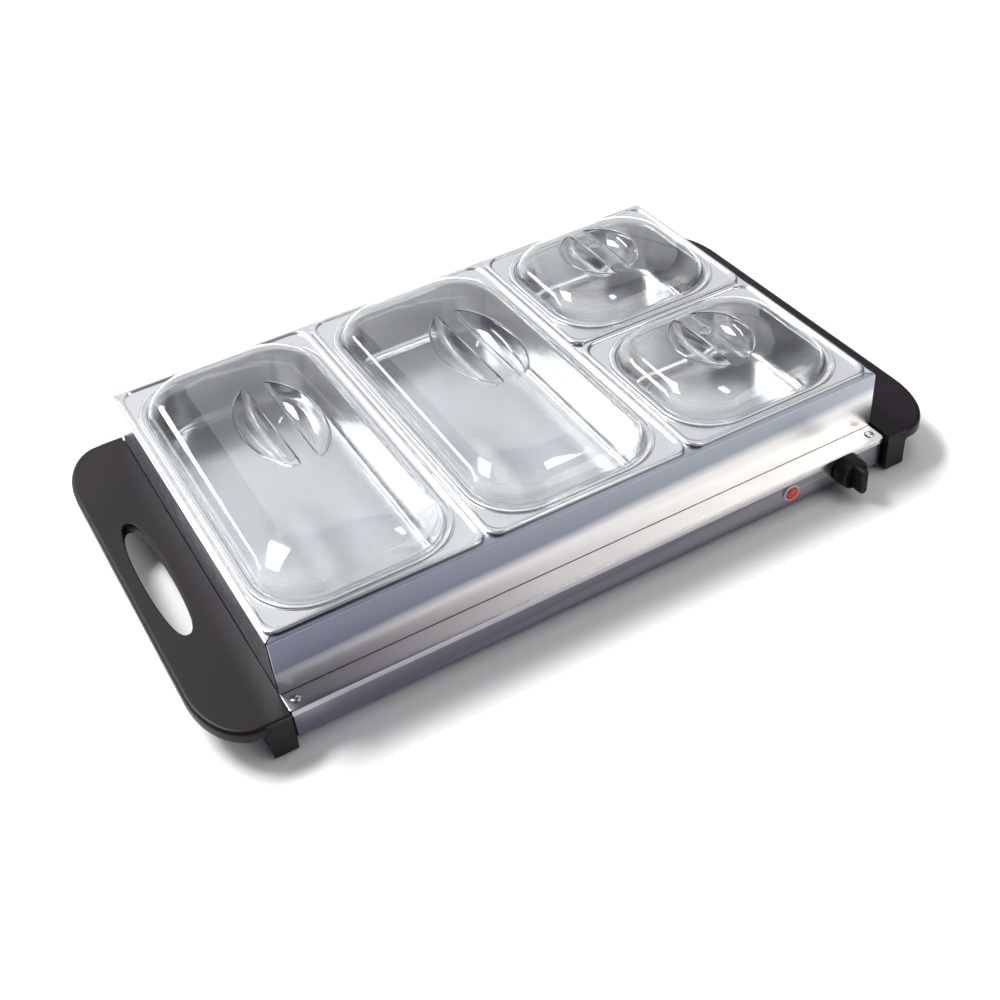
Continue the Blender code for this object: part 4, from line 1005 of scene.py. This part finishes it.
def lid(label, wells, mark):
    """Clear dome of even wall thickness on a flat flange, with two finger wells and a grip bar between."""
    node = f"lid_{label}"
    low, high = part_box(node)
    centre = np.array([(low.x + high.x) / 2, (low.y + high.y) / 2])
    shape = Lid((high.x - low.x) / 2, (high.y - low.y) / 2, wells, mark)
    points, edges = shape.plan()
    plan, _, faces, _, _, _ = delaunay_2d_cdt(points, edges, [], 0, 1e-6)
    x = np.array([p.x for p in plan])
    y = np.array([p.y for p in plan])
    normals = shape.normals(x, y)
    top = np.stack([x + centre[0], y + centre[1], low.z + shape.height(x, y)], axis=1)
    bottom = top - normals * LID_WALL
    count = len(top)
    polygons = [tuple(face) for face in faces] + [tuple(i + count for i in reversed(face)) for face in faces]
    directed = {(face[i - 1], face[i]) for face in faces for i in range(len(face))}
    for a, b in directed:
        if (b, a) not in directed:
            polygons.append((b, a, a + count, b + count))
    mesh = bpy.data.meshes.new(node)
    mesh.from_pydata(np.concatenate([top, bottom]).tolist(), [], polygons)
    mesh.validate()
    mesh.shade_smooth()
    mesh.normals_split_custom_set_from_vertices(np.concatenate([normals, -normals]).tolist())
    mesh.materials.append(MATERIALS["clear_plastic"])
    thing = bpy.data.objects.new(f"{node}_dome", mesh)
    bpy.context.scene.collection.objects.link(thing)
    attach(thing, node)
    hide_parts(node)


# ---------------------------------------------------------------- stage, lights and camera
def floor():
    bm = bmesh.new()
    half = FLOOR_SIZE / 2
    corners = ((-half, -half), (half, -half), (half, half), (-half, half))
    bm.faces.new([bm.verts.new((x, y, 0.0)) for x, y in corners])
    mesh = bpy.data.meshes.new("floor")
    bm.to_mesh(mesh)
    bm.free()
    made = Surface("floor_paper", (0.95, 0.95, 0.95), 0.75, 0.0, **{"Specular IOR Level": 0.1})
    fine = made.noise(240.0, 3.0)
    made.feed("Roughness", made.ranged(fine, 0.70, 0.82))
    made.bump((fine, 0.03, 0.0002))
    mesh.materials.append(made.material)
    thing = bpy.data.objects.new("floor", mesh)
    bpy.context.scene.collection.objects.link(thing)


def studio():
    world = bpy.data.worlds.new("studio")
    world.use_nodes = True
    nodes, links = world.node_tree.nodes, world.node_tree.links
    toward = nodes.new("ShaderNodeVectorMath")
    toward.operation = "DOT_PRODUCT"
    toward.inputs[1].default_value = WORLD_UP
    links.new(nodes.new("ShaderNodeTexCoord").outputs["Generated"], toward.inputs[0])
    ramp = nodes.new("ShaderNodeValToRGB")
    ramp.color_ramp.interpolation = "EASE"
    ramp.color_ramp.elements[0].color = (*WORLD_DARK, 1.0)
    ramp.color_ramp.elements[1].color = (*WORLD_BRIGHT, 1.0)
    links.new(toward.outputs["Value"], ramp.inputs[0])
    seen = nodes.new("ShaderNodeMix")
    seen.data_type = "RGBA"
    links.new(nodes.new("ShaderNodeLightPath").outputs["Is Camera Ray"], seen.inputs[0])
    links.new(ramp.outputs["Color"], seen.inputs[6])
    seen.inputs[7].default_value = (*BACKDROP, 1.0)
    links.new(seen.outputs[2], nodes["Background"].inputs["Color"])
    bpy.context.scene.world = world
    for name, place, aim, width, height, watts, colour in SOFTBOXES:
        light = bpy.data.lights.new(name, "AREA")
        light.shape = "RECTANGLE"
        light.size, light.size_y = width, height
        light.energy = watts
        light.color = colour
        thing = bpy.data.objects.new(name, light)
        thing.location = place
        thing.rotation_euler = (Vector(aim) - Vector(place)).to_track_quat("-Z", "Y").to_euler()
        bpy.context.scene.collection.objects.link(thing)


def camera():
    data = bpy.data.cameras.new("camera")
    data.sensor_width = 36.0
    data.lens = LENS
    back = -CAMERA_FORWARD.normalized()
    right = CAMERA_UP.cross(back).normalized()
    up = back.cross(right)
    thing = bpy.data.objects.new("camera", data)
    thing.matrix_world = Matrix.Translation(CAMERA_PLACE) @ Matrix((right, up, back)).transposed().to_4x4()
    bpy.context.scene.collection.objects.link(thing)
    bpy.context.scene.camera = thing


# ---------------------------------------------------------------- assembly
camera()
studio()
floor()
finish_cad_nodes()
warming_plate()
base_housing()
handle("left_handle", -1)
handle("right_handle", 1)
control_knob()
indicator_lamp()
cord_gland()
rack_panels()
soften_dividers()
for label in ("large_left", "large_middle", "small_back", "small_front"):
    pan(label)
for label in ("large_left", "large_middle"):
    lid(label, LARGE_WELLS, LARGE_MARK)
for label in ("small_back", "small_front"):
    lid(label, SMALL_WELLS, SMALL_MARK)
bpy.context.scene.view_settings.view_transform = "Standard"
